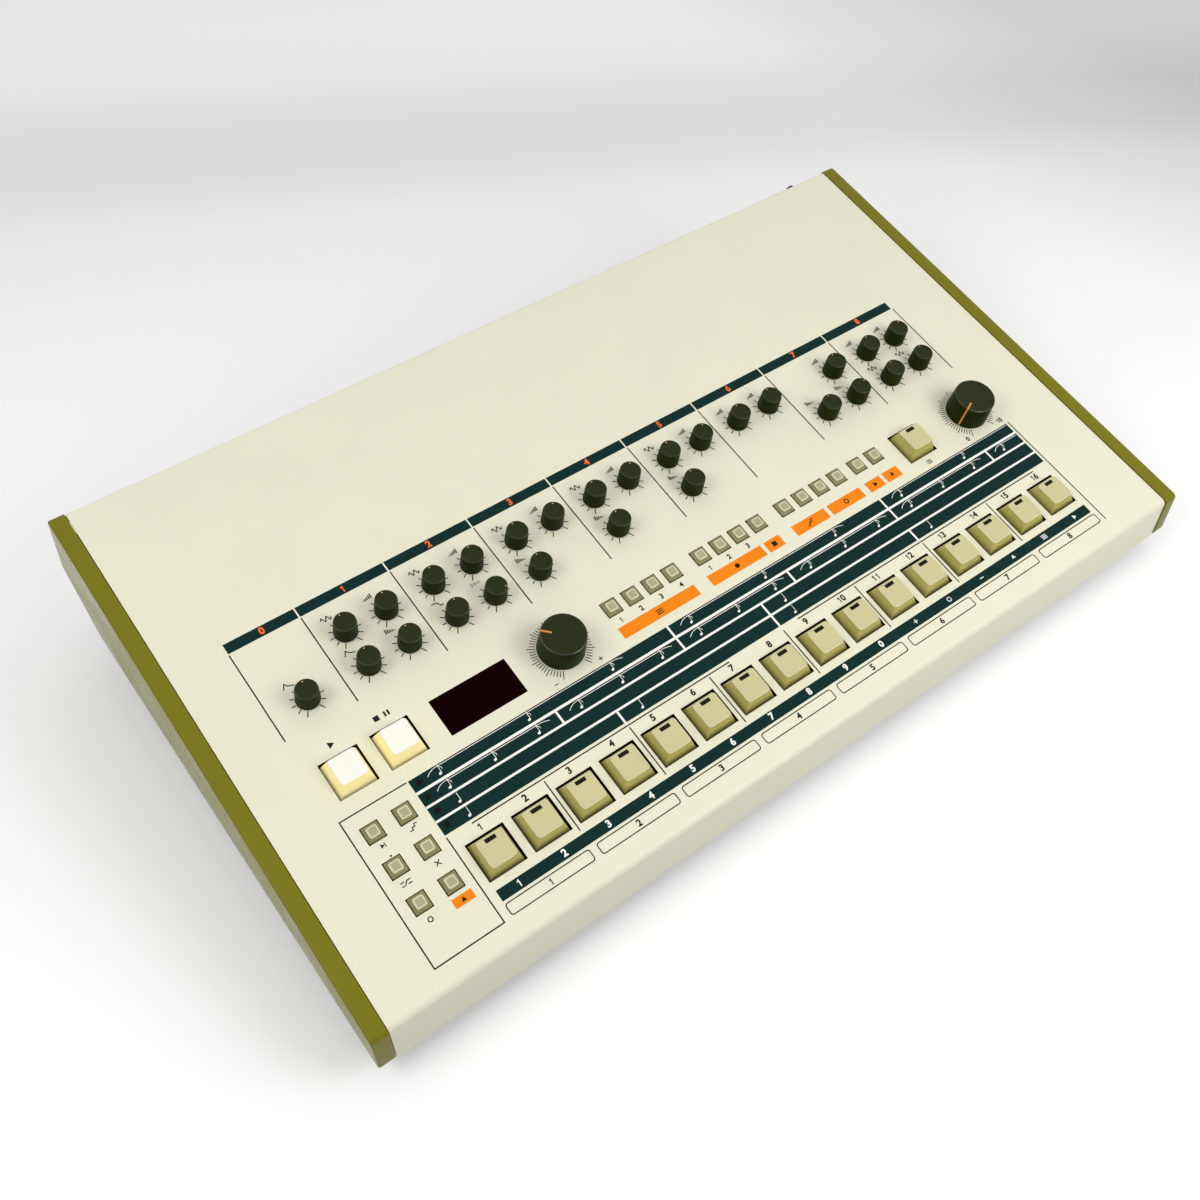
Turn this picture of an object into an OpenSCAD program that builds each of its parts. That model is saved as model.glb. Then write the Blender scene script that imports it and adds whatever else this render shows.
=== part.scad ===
// Desktop drum machine: a sheet metal case with a sloped control panel between two moulded
// side cheeks, sixteen step keys, twenty-nine knobs and a slanted socket panel at the rear.
// Millimetres, +Z up, +Y to the rear, origin on the floor under the middle of the case.

/* [Case] */
// Overall width over both cheeks
body_w = 486; // [470:1:520]
// Overall depth
body_d = 300; // [294:1:320]
// Slope of the control panel, in degrees
slope = 13; // [11:0.5:14]
// Length of the control panel along its slope
panel_len = 277.5; // [274:0.5:284]
// Height of the front face
front_h = 25; // [23:0.5:34]
// Thickness of the case's sheet steel
sheet_t = 1.6; // [1:0.1:2]
// Outer radius of the panel's front bend
bend_r = 3.2; // [2.4:0.1:5]
// Outer radius of the panel's rear bend
rear_bend_r = 2.2; // [1.8:0.1:4]
// Height of the rear ridge above the underside
ridge_h = 33; // [28:1:38]
// Distance from the rear ridge forward to the underside
ridge_in = 23; // [15:1:30]
// Width of the folds that hold the socket panel
fold_w = 7.5; // [6:0.5:9]
// Height of the flanges around the underside
flange_h = 15; // [12:1:17]

/* [Cheeks] */
// Thickness of a side cheek
cheek_t = 8; // [6:0.5:12]
// Distance that a cheek stands proud of the case
cheek_proud = 0.6; // [0.2:0.1:1.5]
// Gap between a cheek and the case
seam = 0.4; // [0.2:0.1:0.8]
// Bevel along a cheek's outer edge
cheek_bevel = 1; // [0.4:0.1:2]
// Radius of a cheek's corners
cheek_r = 2.6; // [1.5:0.1:4]

/* [Feet] */
// Height of a rubber foot
foot_h = 12; // [8:0.5:16]
// Diameter of a foot at the case
foot_d = 22; // [16:1:28]
// Distance of the feet from the sides of the case
foot_in_x = 32; // [24:1:60]
// Distance of the feet from the front and from the rear of the underside
foot_in_y = 30; // [22:1:50]

/* [Keys] */
// Side of a key's square window in the panel
key_window = 18.9; // [18.4:0.1:19.4]
// Gap around a key in its window
key_gap = 0.65; // [0.4:0.05:0.9]
// Height of a step key above the panel
step_key_h = 5.1; // [4:0.1:7]
// Height of the start, stop and enter keys above the panel
main_key_h = 6.6; // [4:0.1:8]
// Width of a key's top face
key_top_w = 12.7; // [11:0.1:14]
// Depth of a key's top face
key_top_d = 13.1; // [12.4:0.1:14]
// Travel of a key
key_travel = 3; // [2:0.1:3.4]
// Number of step keys
step_count = 16; // [8:1:16]
// Distance from one step key to the next
step_pitch = 22.95; // [22:0.05:23.2]
// Distance of the first step key from the panel's left edge
step_x = 73.9; // [72:0.1:76]
// Distance of the step keys from the panel's front edge
step_y = 36.2; // [34:0.1:38]
// Side distance of the start key
start_x = 41.9; // [38:0.1:44]
// Side distance of the stop key
stop_x = 66.8; // [64:0.1:67]
// Side distance of the enter key
enter_x = 376.6; // [374:0.1:380]
// Distance of the row of main keys, display and large knobs from the panel's front edge
main_y = 99.4; // [97:0.1:101]

/* [Buttons] */
// Side of a small button's window
button_window = 8.6; // [8:0.1:9.4]
// Gap around a small button in its window
button_gap = 0.4; // [0.3:0.05:0.6]
// Height of a small button above the panel
button_h = 1.9; // [1.5:0.1:3]
// Travel of a small button
button_travel = 0.8; // [0.4:0.1:1]
// Distance of the row of mode buttons from the panel's front edge
mode_y = 104.2; // [102:0.1:106]
// Distance from one mode button to the next
mode_pitch = 11.95; // [11.4:0.05:12.2]

/* [Knobs] */
// Diameter of a small knob at its foot
knob_d = 11.2; // [9:0.1:12]
// Height of a small knob above the panel
knob_h = 9.8; // [8:0.1:14]
// Diameter of a large knob at its foot
dial_d = 22.6; // [18:0.1:24]
// Height of a large knob above the panel
dial_h = 13.7; // [12:0.1:18]
// Gap between a knob and the panel
knob_gap = 0.5; // [0.3:0.1:1]
// Diameter of a knob's shaft
shaft_d = 6; // [5:0.1:6.2]
// Clearance around a shaft in its bushing
shaft_gap = 0.3; // [0.2:0.05:0.4]
// Distance from one instrument's section to the next
section_pitch = 45.9; // [44.5:0.1:46]
// Left edge of the second instrument's section
section_x = 62.2; // [61:0.1:64]
// Distance of a section's left knobs from its left edge
knob_left = 12.9; // [12:0.1:14]
// Distance of a section's right knobs from its left edge
knob_right = 33.8; // [32:0.1:35]
// Distance of the front row of knobs from the panel's front edge
knob_front = 137.9; // [132:0.1:140]
// Distance of the rear row of knobs from the panel's front edge
knob_rear = 157.7; // [155:0.1:164]

/* [Display] */
// Width of the display window
display_w = 39.7; // [34:0.1:42]
// Depth of the display window
display_d = 19.3; // [16:0.1:20]
// Distance of the display window's middle from the panel's left edge
display_x = 107.05; // [105:0.05:109]
// Diameter of a status lamp
lamp_d = 3; // [2.4:0.1:3.6]

/* [Rear panel] */
// Number of quarter-inch sockets
jack_count = 14; // [4:1:14]
// Distance from one quarter-inch socket to the next
jack_pitch = 15; // [14.4:0.1:15.4]
// Diameter of a quarter-inch socket's bore
jack_bore = 6.5; // [6.3:0.05:7]
// Diameter of a small phone socket's bore
mini_bore = 3.7; // [3.5:0.05:4]
// Diameter of a round multi-pin socket's mouth
din_bore = 13.6; // [13:0.1:14.5]
// Distance of the sockets from the panel's top edge, along the rear slope
socket_s = 31; // [29:0.5:34]
// Width of the cartridge slot
slot_w = 60; // [40:1:66]
// Height of the cartridge slot
slot_h = 8; // [7:0.5:10]
// Turn of the power rocker between off and on, in degrees
rocker_turn = 10; // [6:1:10]
// Side of the rocker's window across the panel
rocker_w = 11; // [10:0.5:14]
// Length of the rocker's window
rocker_l = 19; // [18:0.5:22]
// Diameter of the mains cord's gland
gland_d = 11; // [9:0.5:13]
// Height of the gland above the socket panel
gland_h = 6; // [4:0.5:7]

/* [Inside] */
// Depth of the control board's top below the panel's top face
board_drop = 16.4; // [15.4:0.1:19]
// Thickness of a circuit board
board_t = 1.6; // [1:0.1:2]
// Length of the control board up the slope
board_len = 180; // [172:1:190]
// Height of the main board above the case's floor
main_board_h = 8; // [5:0.5:14]
// Diameter of a case screw's shank
screw_d = 3; // [2.5:0.1:3.4]

/* [Hidden] */
$fn = 48;
tiny = 0.01;
panel_w = body_w - 2 * cheek_t;
// Places across the case are drawn for a panel of this width, and spread or close up with it:
// as far as the first step key, the row of sixteen, and what lies right of it
step_places = 16;
right_of_steps = 51.85;
layout_w = step_x + (step_places - 1) * step_pitch + right_of_steps;
function along(x) = x * panel_w / layout_w;
function from_left(x) = along(x) - panel_w / 2;
case_w = panel_w - 2 * seam;
front_y = -body_d / 2 + cheek_proud;
front_z = foot_h + front_h;
rear_y = front_y + panel_len * cos(slope);
rear_z = front_z + panel_len * sin(slope);
ridge_y = body_d / 2 - cheek_proud;
ridge_z = foot_h + ridge_h;
under_y = ridge_y - ridge_in;
lean = atan2(ridge_y - rear_y, rear_z - ridge_z);
rear_len = norm([ridge_y - rear_y, rear_z - ridge_z]);

key_w = key_window - 2 * key_gap;
key_skirt = 5;
key_wall = 2.4;
key_led_w = 4.6;
key_led_d = 2.1;
key_led_y = 5;
key_led_drop = 0.6;
key_lens_t = 0.5;
key_top_rs = [2, 2, 1.4, 1.4];
key_stem = 4;
key_stem_l = 7;
stem_gap = 0.3;
key_switch_w = 14;
key_switch_floor = 0.6;
key_switch_top = key_skirt + key_travel + 1.2;
button_w = button_window - 2 * button_gap;
button_pad = 5.1;
button_stem_d = 3;
button_stem_drop = 6;
bushing_wall = 1;
bushing_end = 1;
shaft_end = 11;
pot_d = 10;
dial_pot_d = 16;
pot_h = 7.5;
panel_hole_gap = 0.6;
lamp_sink = 0.15;
screw_head_d = 5.6;
screw_head_h = 1.8;
screw_gap = 0.2;
screw_bite = 6;
flat_head_h = (screw_head_d - screw_d) / 2;
// Distance of the fold's screws from its bend, and the pan head screw at its right end
lip_s = fold_w / 2 + 1;
earth_screw_x = 212;
earth_head_d = 4.8;
rear_face = -sheet_t;
nose_h = 2.6;
jack_depth = 24;
din_depth = 6;
bush_gap = 0.2;

// Left edge of each instrument's section, the first one being narrower
function section(i) = section_x + (i - 1) * section_pitch;

// Every small knob: name, section, column (0 left, 1 right), row (0 front, 1 rear), pointer turn
SMALL_KNOBS = [
    ["bass_tune_knob", 1, 0, 1, 4], ["bass_level_knob", 1, 1, 1, -6],
    ["bass_attack_knob", 1, 0, 0, -3], ["bass_decay_knob", 1, 1, 0, -3],
    ["snare_tune_knob", 2, 0, 1, -3], ["snare_level_knob", 2, 1, 1, -6],
    ["snare_tone_knob", 2, 0, 0, -10], ["snare_snap_knob", 2, 1, 0, -124],
    ["low_tom_tune_knob", 3, 0, 1, -1], ["low_tom_level_knob", 3, 1, 1, -28],
    ["low_tom_decay_knob", 3, 0, 0, 0], ["mid_tom_tune_knob", 4, 0, 1, -2],
    ["mid_tom_level_knob", 4, 1, 1, -32], ["mid_tom_decay_knob", 4, 0, 0, 0],
    ["high_tom_tune_knob", 5, 0, 1, -4], ["high_tom_level_knob", 5, 1, 1, -32],
    ["high_tom_decay_knob", 5, 0, 0, -2], ["rim_level_knob", 6, 0, 1, -2],
    ["clap_level_knob", 6, 1, 1, 0], ["hat_level_knob", 7, 1, 1, -4],
    ["closed_hat_decay_knob", 7, 0, 0, -6], ["open_hat_decay_knob", 7, 1, 0, -60],
    ["crash_level_knob", 8, 0, 1, 0], ["ride_level_knob", 8, 1, 1, -40],
    ["crash_tune_knob", 8, 0, 0, 3], ["ride_tune_knob", 8, 1, 0, -9]
];
function small_knob_x(k) = section(k[1]) + (k[2] == 0 ? knob_left : knob_right);
function small_knob_y(k) = k[3] == 0 ? knob_front : knob_rear;

// The knob of the narrow first section
accent_x = 44.8;
accent_turn = -6;
// The two large knobs: distance from the left edge and pointer turn
tempo_x = 151.6;
tempo_turn = 48;
volume_x = 417;
volume_turn = 113;

STEP_NAMES = [for (i = [1 : step_count]) str("step_key_", i < 10 ? "0" : "", i)];
KNOB_NAMES = concat(["accent_knob"], [for (k = SMALL_KNOBS) k[0]], ["tempo_knob", "volume_knob"]);

function step_key_x(i) = step_x + i * step_pitch;
// Small buttons: six function buttons at the left, then the row of fourteen mode buttons
function_xs = [36.6, 51.6];
function_ys = [71.1, 53.4, 35.6];
mode_groups = [[183.9, 4], [237.4, 4], [291.1, 4], [341.1, 2]];
BUTTONS = concat(
    [for (y = function_ys, x = function_xs) [x, y]],
    [for (g = mode_groups, i = [0 : g[1] - 1]) [g[0] + i * mode_pitch, mode_y]]);
KEYS = concat(
    [for (i = [0 : step_count - 1]) [step_key_x(i), step_y]],
    [[start_x, main_y], [stop_x, main_y], [enter_x, main_y]]);
KNOBS = concat([[accent_x, knob_front]], [for (k = SMALL_KNOBS) [small_knob_x(k), small_knob_y(k)]]);
DIALS = [[tempo_x, main_y], [volume_x, main_y]];
// Status lamps on the four printed bars
lamp_x = 63.7;
lamp_pitch = 7.35;
lamp_first_y = 57.4;
LAMPS = [for (i = [0 : 3]) [lamp_x, lamp_first_y + i * lamp_pitch]];
// Control board, and the studs that carry it
board_in = 14;
board_y = 8;
stud_xs = [22, 232, 448];
stud_ys = [16, 120, board_len - 6];
STUDS = [for (x = stud_xs, y = stud_ys) [x, y]];
stud_d = 6;

// Rear fittings, along X
jack_first_x = -24;
function jack_x(i) = jack_first_x - i * jack_pitch;
din_xs = [14, 36, 58, 80];
mini_x = -6;
mini_rise = 7;
mini_ss = [socket_s - mini_rise, socket_s + mini_rise];
slot_x = 132;
rocker_x = 184;
gland_x = 211;
gland_up = 17.4;
gland_s = rear_len - gland_up;
lip_screw_xs = [-212, -127, -42, 42, 127, earth_screw_x];
lip_screw_ss = [lip_s, rear_len - lip_s];
// Feet
foot_xs = [-panel_w / 2 + foot_in_x, panel_w / 2 - foot_in_x];
foot_ys = [front_y + foot_in_y, under_y - foot_in_y];
// Screws that hold a cheek, along the underside's side flange
cheek_screw_ys = [-110, 0, 100];
cheek_screw_z = foot_h + flange_h / 2;

// ---- Outlines ----
function unit(v) = v / norm(v);
function left_of(v) = unit([-v[1], v[0]]);
// Arc that rounds the corner b between a and c
function corner(a, b, c, r, n) =
    let (u = unit(a - b), v = unit(c - b), half = acos(u * v) / 2,
         o = b + unit(u + v) * r / sin(half),
         p = b + u * r / tan(half) - o, q = b + v * r / tan(half) - o,
         start = atan2(p[1], p[0]), turn = (atan2(q[1], q[0]) - start + 540) % 360 - 180)
    [for (i = [0 : n]) o + r * [cos(start + turn * i / n), sin(start + turn * i / n)]];
// Outline with each corner rounded to its own radius
function rounded(points, radii, n = 6) =
    let (m = len(points))
    [for (i = [0 : m - 1]) each radii[i] == 0 ? [points[i]]
        : corner(points[(i + m - 1) % m], points[i], points[(i + 1) % m], radii[i], n)];
// Outline of a sheet folded along a path, its thickness to the path's left; bends are the
// outer radii of its folds
function folded(path, t, bends) =
    let (m = len(path) - 1,
         inner = [for (i = [0 : m])
             let (a = left_of(path[max(i, 1)] - path[max(i, 1) - 1]),
                  b = left_of(path[min(i, m - 1) + 1] - path[min(i, m - 1)]))
             path[i] + t * (a + b) / (1 + a * b)],
         radii = [0, each bends, 0])
    rounded(concat(path, [for (i = [m : -1 : 0]) inner[i]]),
            concat(radii, [for (i = [m : -1 : 0]) max(radii[i] - t, 0)]), 6);
function rounded_rect(w, d, r) =
    rounded([[-w, -d], [w, -d], [w, d], [-w, d]] / 2, [r, r, r, r]);

// ---- Frames ----
// On the control panel: x from its left edge, y up the slope, n above its top face
module on_panel(x, y, n = 0) {
    translate([0, front_y, front_z]) rotate([slope, 0, 0]) translate([from_left(x), y, n])
        children();
}
// On the rear slope: x across, s down from the top edge, n outwards
module on_rear(x, s, n = 0) {
    translate([0, rear_y, rear_z]) rotate([lean - 90, 0, 0]) translate([along(x), s, n])
        children();
}
// A side outline in Y and Z, drawn out along X about the middle
module across(w) {
    rotate([90, 0, 90]) linear_extrude(w, center = true) children();
}
// A block centred on its place, reaching from n0 up to n1
module block(w, d, n0, n1) {
    translate([-w / 2, -d / 2, n0]) cube([w, d, n1 - n0]);
}
module square_taper(w0, w1, n0, n1) {
    translate([0, 0, n0]) rotate(45)
        cylinder(h = n1 - n0, d1 = w0 * sqrt(2), d2 = w1 * sqrt(2), $fn = 4);
}
module rod(d, n0, n1) {
    translate([0, 0, n0]) cylinder(h = n1 - n0, d = d);
}

// ---- Case ----
top_path = [
    [rear_y, rear_z] + fold_w * [sin(lean), -cos(lean)],
    [rear_y, rear_z], [front_y, front_z], [front_y, foot_h]
];
module top_panel() {
    color("#e9e7d2") difference() {
        union() {
            across(case_w) polygon(folded(top_path, sheet_t, [rear_bend_r, bend_r]));
            for (p = STUDS) on_panel(p[0], p[1]) rod(stud_d, -board_drop, -sheet_t / 2);
        }
        for (p = KEYS) on_panel(p[0], p[1]) block(key_window, key_window, -2 * sheet_t, 1);
        for (p = BUTTONS) on_panel(p[0], p[1]) block(button_window, button_window, -2 * sheet_t, 1);
        for (p = concat(KNOBS, DIALS)) on_panel(p[0], p[1])
            rod(shaft_d + 2 * panel_hole_gap, -2 * sheet_t, 1);
        for (p = LAMPS) on_panel(p[0], p[1]) rod(lamp_d + 2 * bush_gap, -2 * sheet_t, 1);
        on_panel(display_x, main_y) block(display_w, display_d, -2 * sheet_t, 1);
        for (x = lip_screw_xs) on_rear(x, lip_s) {
            screw_hole(2 * sheet_t);
            if (x != earth_screw_x) cone(screw_gap, 1);
        }
    }
}

// The folded floor of the case, with its upturned flanges, vents and board stand-offs
pan_path = [
    [front_y + sheet_t + seam, foot_h + flange_h], [front_y + sheet_t + seam, foot_h],
    [under_y, foot_h], [ridge_y, ridge_z],
    [ridge_y, ridge_z] + fold_w * [-sin(lean), cos(lean)]
];
vent_count = 10;
vent_pitch = 7;
vent_l = 44;
vent_w = 3;
vent_x = 130;
vent_y = 30;
standoff_d = 7;
standoff_xs = [30, 330];
board_xs = [for (x = standoff_xs) from_left(x)];
board_ys = [-22, 88];
module chassis_pan() {
    floor_len = under_y - pan_path[1][0] - 2 * bend_r;
    color("#a9a899") difference() {
        union() {
            across(case_w - 2 * sheet_t)
                polygon(folded(pan_path, sheet_t, [bend_r, bend_r, bend_r]));
            for (side = [-1, 1])
                translate([side * (case_w - sheet_t) / 2 - sheet_t / 2,
                           pan_path[1][0] + bend_r, foot_h])
                    cube([sheet_t, floor_len, flange_h]);
            for (x = board_xs, y = board_ys)
                translate([x, y, foot_h]) rod(standoff_d, sheet_t / 2, sheet_t + main_board_h);
        }
        for (i = [0 : vent_count - 1])
            translate([along(vent_x) + i * vent_pitch, vent_y, foot_h])
                block(vent_w, vent_l, -1, sheet_t + 1);
        for (x = foot_xs, y = foot_ys) translate([x, y, foot_h + sheet_t]) screw_hole(2 * sheet_t);
        for (side = [-1, 1], y = cheek_screw_ys)
            translate([side * case_w / 2, y, cheek_screw_z]) rotate([0, side * 90, 0])
                screw_hole(2 * sheet_t);
        for (x = lip_screw_xs) on_rear(x, rear_len - lip_s) {
            screw_hole(2 * sheet_t);
            cone(screw_gap, 1);
        }
    }
}

// The slanted plate that carries the sockets, held behind the two folds
module jack_panel() {
    color("#dcdac6") difference() {
        on_rear(0, rear_len / 2) block(case_w - 2 * sheet_t - 2 * seam,
            rear_len - 4 * sheet_t, rear_face - sheet_t, rear_face);
        for (x = lip_screw_xs, s = lip_screw_ss) on_rear(x, s) screw_hole(3 * sheet_t);
        for (i = [0 : jack_count - 1])
            on_rear(jack_x(i), socket_s) rod(jack_bush_d + 2 * bush_gap, -3 * sheet_t, 0);
        for (x = din_xs)
            on_rear(x, socket_s) rod(din_bush_d + 2 * bush_gap, -3 * sheet_t, 0);
        for (s = mini_ss)
            on_rear(mini_x, s) rod(mini_bush_d + 2 * bush_gap, -3 * sheet_t, 0);
        on_rear(slot_x, socket_s) block(slot_w + 2 * slot_wall + 2 * bush_gap,
            slot_h + 2 * slot_wall + 2 * bush_gap, -3 * sheet_t, 0);
        on_rear(rocker_x, socket_s) block(rocker_w + 2 * slot_wall + 2 * bush_gap,
            rocker_l + 2 * slot_wall + 2 * bush_gap, -3 * sheet_t, 0);
        on_rear(gland_x, gland_s) rod(gland_bush_d + 2 * bush_gap, -3 * sheet_t, 0);
    }
}

// Side outline of a cheek, a little proud of the case all round
function cheek_outline(inset) = let (p = cheek_proud - inset)
    rounded([
        [front_y - p, foot_h + inset], [front_y - p, front_z + p],
        [rear_y + p * tan(45 - (lean + slope) / 2), rear_z + p], [ridge_y + p, ridge_z],
        [under_y + p, foot_h + inset]
    ], [cheek_r, cheek_r, cheek_r, 2 * cheek_r, cheek_r]);
module cheek(side) {
    face = side * panel_w / 2;
    color("#77701c") difference() {
        hull() {
            translate([side * (panel_w / 2 + (cheek_t - cheek_bevel) / 2), 0, 0])
                across(cheek_t - cheek_bevel) polygon(cheek_outline(0));
            translate([side * (panel_w / 2 + cheek_t - tiny / 2), 0, 0])
                across(tiny) polygon(cheek_outline(cheek_bevel));
        }
        for (y = cheek_screw_ys)
            translate([face, y, cheek_screw_z]) rotate([0, side * 90, 0])
                rod(screw_d + 2 * tiny, -1, cheek_t / 2 + tiny);
    }
}
module left_cheek() { cheek(-1); }
module right_cheek() { cheek(1); }

// ---- Display ----
display_flange = 2.5;
display_sink = 0.4;
module display_window() {
    color("#2a0508") on_panel(display_x, main_y) {
        block(display_w - 2 * bush_gap, display_d - 2 * bush_gap, -sheet_t, -display_sink);
        block(display_w + 2 * display_flange, display_d + 2 * display_flange,
              -2 * sheet_t, -sheet_t);
    }
}

// ---- Knobs ----
// Turned outline of a knob: tapered side, rounded rim and a shallow dish in the top
knob_taper = 0.04;
rim_r = 0.5;
rim_w = 0.7;
dish = 0.25;
module knob_cap(d, h) {
    foot = d / 2;
    top = foot - h * knob_taper;
    outline = rounded(
        [[0, knob_gap], [foot, knob_gap], [top, h], [top - rim_w, h],
         [top - rim_w - dish, h - dish], [0, h - dish]],
        [0, 0.25, rim_r, 0.15, 0.15, 0]);
    rotate_extrude() polygon(outline);
}
bore_gap = 0.05;
knob_roof = 2;
// A knob on its flatted shaft, with a groove for the pointer line
module knob(x, y, d, h, turn, line_in, line_w) {
    on_panel(x, y) rotate(turn) {
        color("#2a2d1f") difference() {
            knob_cap(d, h);
            rod(shaft_d + 2 * bore_gap, -1, h - knob_roof);
            block_from(line_w, line_in, d, h - dish - line_depth, h + 1);
            if (line_in < d / 3)
                block_from(line_w, d / 2 - h * knob_taper - line_depth, d, -1, h + 1);
        }
        color("#b9b9b4") difference() {
            rod(shaft_d, -shaft_end, h - knob_roof - bore_gap);
            translate([0, -shaft_d, 0]) block(shaft_d, shaft_d, knob_gap + 1, h);
        }
    }
}
line_depth = 0.3;
// A block along +Y from one distance to another
module block_from(w, y0, y1, n0, n1) {
    translate([-w / 2, y0, n0]) cube([w, y1 - y0, n1 - n0]);
}
small_line = 1.3;
module small_knob(x, y, turn) {
    knob(x, y, knob_d, knob_h, turn, knob_d / 2 - knob_h * knob_taper - small_line, 0.7);
}
dial_line_in = 5.3;
module dial(x, turn) {
    knob(x, main_y, dial_d, dial_h, turn, dial_line_in, 0.9);
}

// ---- Keys ----
// A keycap: square skirt, four sloped sides that meet a rounded top face, and its stem
module key(x, y, h, lamp) {
    led = rounded_rect(key_led_w, key_led_d, 0.5);
    on_panel(x, y) {
        difference() {
            hull() {
                block(key_w, key_w, -key_skirt, 0);
                translate([0, 0, h - tiny]) linear_extrude(tiny)
                    polygon(rounded([[-key_top_w, -key_top_d], [key_top_w, -key_top_d],
                        [key_top_w, key_top_d], [-key_top_w, key_top_d]] / 2, key_top_rs));
            }
            block(key_w - 2 * key_wall, key_w - 2 * key_wall, -key_skirt - 1, h / 2);
            if (lamp) translate([0, key_led_y, h - key_led_drop]) linear_extrude(1) polygon(led);
        }
        block(key_stem, key_stem, -key_skirt - key_stem_l, h / 2);
        if (lamp) color("#141a10") translate([0, key_led_y, h - key_led_drop])
            linear_extrude(key_lens_t) polygon(led);
    }
}
module step_key(i) { color("#cbc69c") key(step_key_x(i), step_y, step_key_h, true); }
module start_key() { color("#f6f4e6") key(start_x, main_y, main_key_h, false); }
module stop_key() { color("#f6f4e6") key(stop_x, main_y, main_key_h, false); }
module enter_key() { color("#cbc69c") key(enter_x, main_y, main_key_h, true); }

// A small button: sloped surround, raised pad and a stem over its switch
button_skirt = 3.2;
button_edge = 0.5;
button_shelf = 1.2;
button_ledge = 0.4;
button_pad_r = 0.9;
module small_buttons() {
    color("#7f7a62") for (p = BUTTONS) on_panel(p[0], p[1]) {
        block(button_w, button_w, -button_skirt, button_edge);
        square_taper(button_w, button_pad + 2 * button_ledge, button_edge, button_shelf);
        translate([0, 0, button_shelf]) linear_extrude(button_h - button_shelf)
            polygon(rounded_rect(button_pad, button_pad, button_pad_r));
        rod(button_stem_d, -button_stem_drop, -button_skirt);
    }
}

// ---- Inside ----
module control_board() {
    color("#9c7a3c") on_panel(0, 0)
        translate([board_in, board_y, -board_drop - board_t])
            cube([panel_w - 2 * board_in, board_len, board_t]);
}
// A potentiometer: body, threaded bushing and the bore that the shaft turns in
module pot(x, y, d) {
    color("#8d8f8c") on_panel(x, y) difference() {
        union() {
            rod(d, -board_drop, -board_drop + pot_h);
            rod(shaft_d + 2 * (shaft_gap + bushing_wall), -board_drop, -sheet_t - bushing_end);
        }
        rod(shaft_d + 2 * shaft_gap, -shaft_end - 1, 0);
    }
}
module key_switch(x, y) {
    color("#26261f") on_panel(x, y) difference() {
        block(key_switch_w, key_switch_w, -board_drop, -key_switch_top);
        block(key_stem + 2 * stem_gap, key_stem + 2 * stem_gap, -board_drop + key_switch_floor, 0);
    }
}
button_switch_w = 6;
button_switch_h = 4;
plunger_d = 3.4;
plunger_gap = 0.2;
module button_switch(x, y) {
    color("#33332e") on_panel(x, y) {
        block(button_switch_w, button_switch_w, -board_drop, -board_drop + button_switch_h);
        rod(plunger_d, -board_drop, -button_stem_drop - button_travel - plunger_gap);
    }
}
module lamp(x, y) {
    color("#241412") on_panel(x, y) rod(lamp_d, -board_drop, -lamp_sink);
}
digits_in = 2;
digits_gap = 0.3;
module display_unit() {
    color("#3a0a0a") on_panel(display_x, main_y)
        block(display_w - 2 * digits_in, display_d - 2 * digits_in,
              -board_drop, -2 * sheet_t - digits_gap);
}
main_board_edge = 8;
module main_board() {
    z = foot_h + sheet_t + main_board_h;
    color("#6d7f3f") translate([board_xs[0] - main_board_edge, board_ys[0] - main_board_edge, z])
        cube([board_xs[1] - board_xs[0] + 2 * main_board_edge,
              board_ys[1] - board_ys[0] + 2 * main_board_edge, board_t]);
}
// Mains transformer: laminated core on a foot plate, with its winding
transformer_x = 165;
transformer_y = 78;
core = [48, 20, 42];
core_plate = [64, 40, 1.5];
winding = [30, 36, 31];
winding_z = 5;
module transformer() {
    translate([along(transformer_x), transformer_y, foot_h + sheet_t]) {
        color("#55524a") {
            block(core_plate[0], core_plate[1], 0, core_plate[2]);
            block(core[0], core[1], 0, core[2]);
        }
        color("#b08a3a") difference() {
            block(winding[0], winding[1], winding_z, winding_z + winding[2]);
            block(core[0], core[1], 0, core[2]);
        }
    }
}
module circuit_boards() {
    control_board();
    for (p = KNOBS) pot(p[0], p[1], pot_d);
    for (p = DIALS) pot(p[0], p[1], dial_pot_d);
    for (p = KEYS) key_switch(p[0], p[1]);
    for (p = BUTTONS) button_switch(p[0], p[1]);
    for (p = LAMPS) lamp(p[0], p[1]);
    display_unit();
    main_board();
    transformer();
}

// ---- Rear fittings ----
jack_bush_d = 9.4;
jack_nut_d = 12.4;
din_bush_d = 16;
din_collar_d = 19;
mini_bush_d = 6;
mini_nut_d = 8.4;
gland_bush_d = 12;
slot_wall = 1.4;
slot_depth = 16;
slot_rim = 2;
rocker_rim = 1.5;
rocker_room = 11;
rim_h = 1.4;
mini_nose = 2;
mini_depth = 14;
din_nose = 1.6;
jack_body = 13;
mini_body = 9;
din_body = 17;
body_gap = 0.1;
// Shares of a nose's height that its nut and its neck take
nut_part = 0.7;
neck_part = 0.6;
// A round socket seated on the plate: nut or collar, bush, body and a blind bore
module socket(x, s, bore, nut_d, nut_h, bush_d, body, depth, sides) {
    on_rear(x, s, rear_face) difference() {
        union() {
            cylinder(h = nut_h * nut_part, d = nut_d, $fn = sides);
            rod((nut_d + bush_d) / 2, nut_h * neck_part, nut_h);
            rod(bush_d, -sheet_t - 1, nut_h * neck_part);
            block(body, body, -depth - 2, -sheet_t - body_gap);
        }
        rod(bore, nut_h - depth, nut_h + 1);
    }
}
module phone_jack(x) {
    color("#b8b7b0") socket(x, socket_s, jack_bore, jack_nut_d, nose_h, jack_bush_d,
        jack_body, jack_depth, 6);
}
module mini_jack(s) {
    color("#8c8b86") socket(mini_x, s, mini_bore, mini_nut_d, mini_nose, mini_bush_d,
        mini_body, mini_depth, 48);
}
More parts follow.
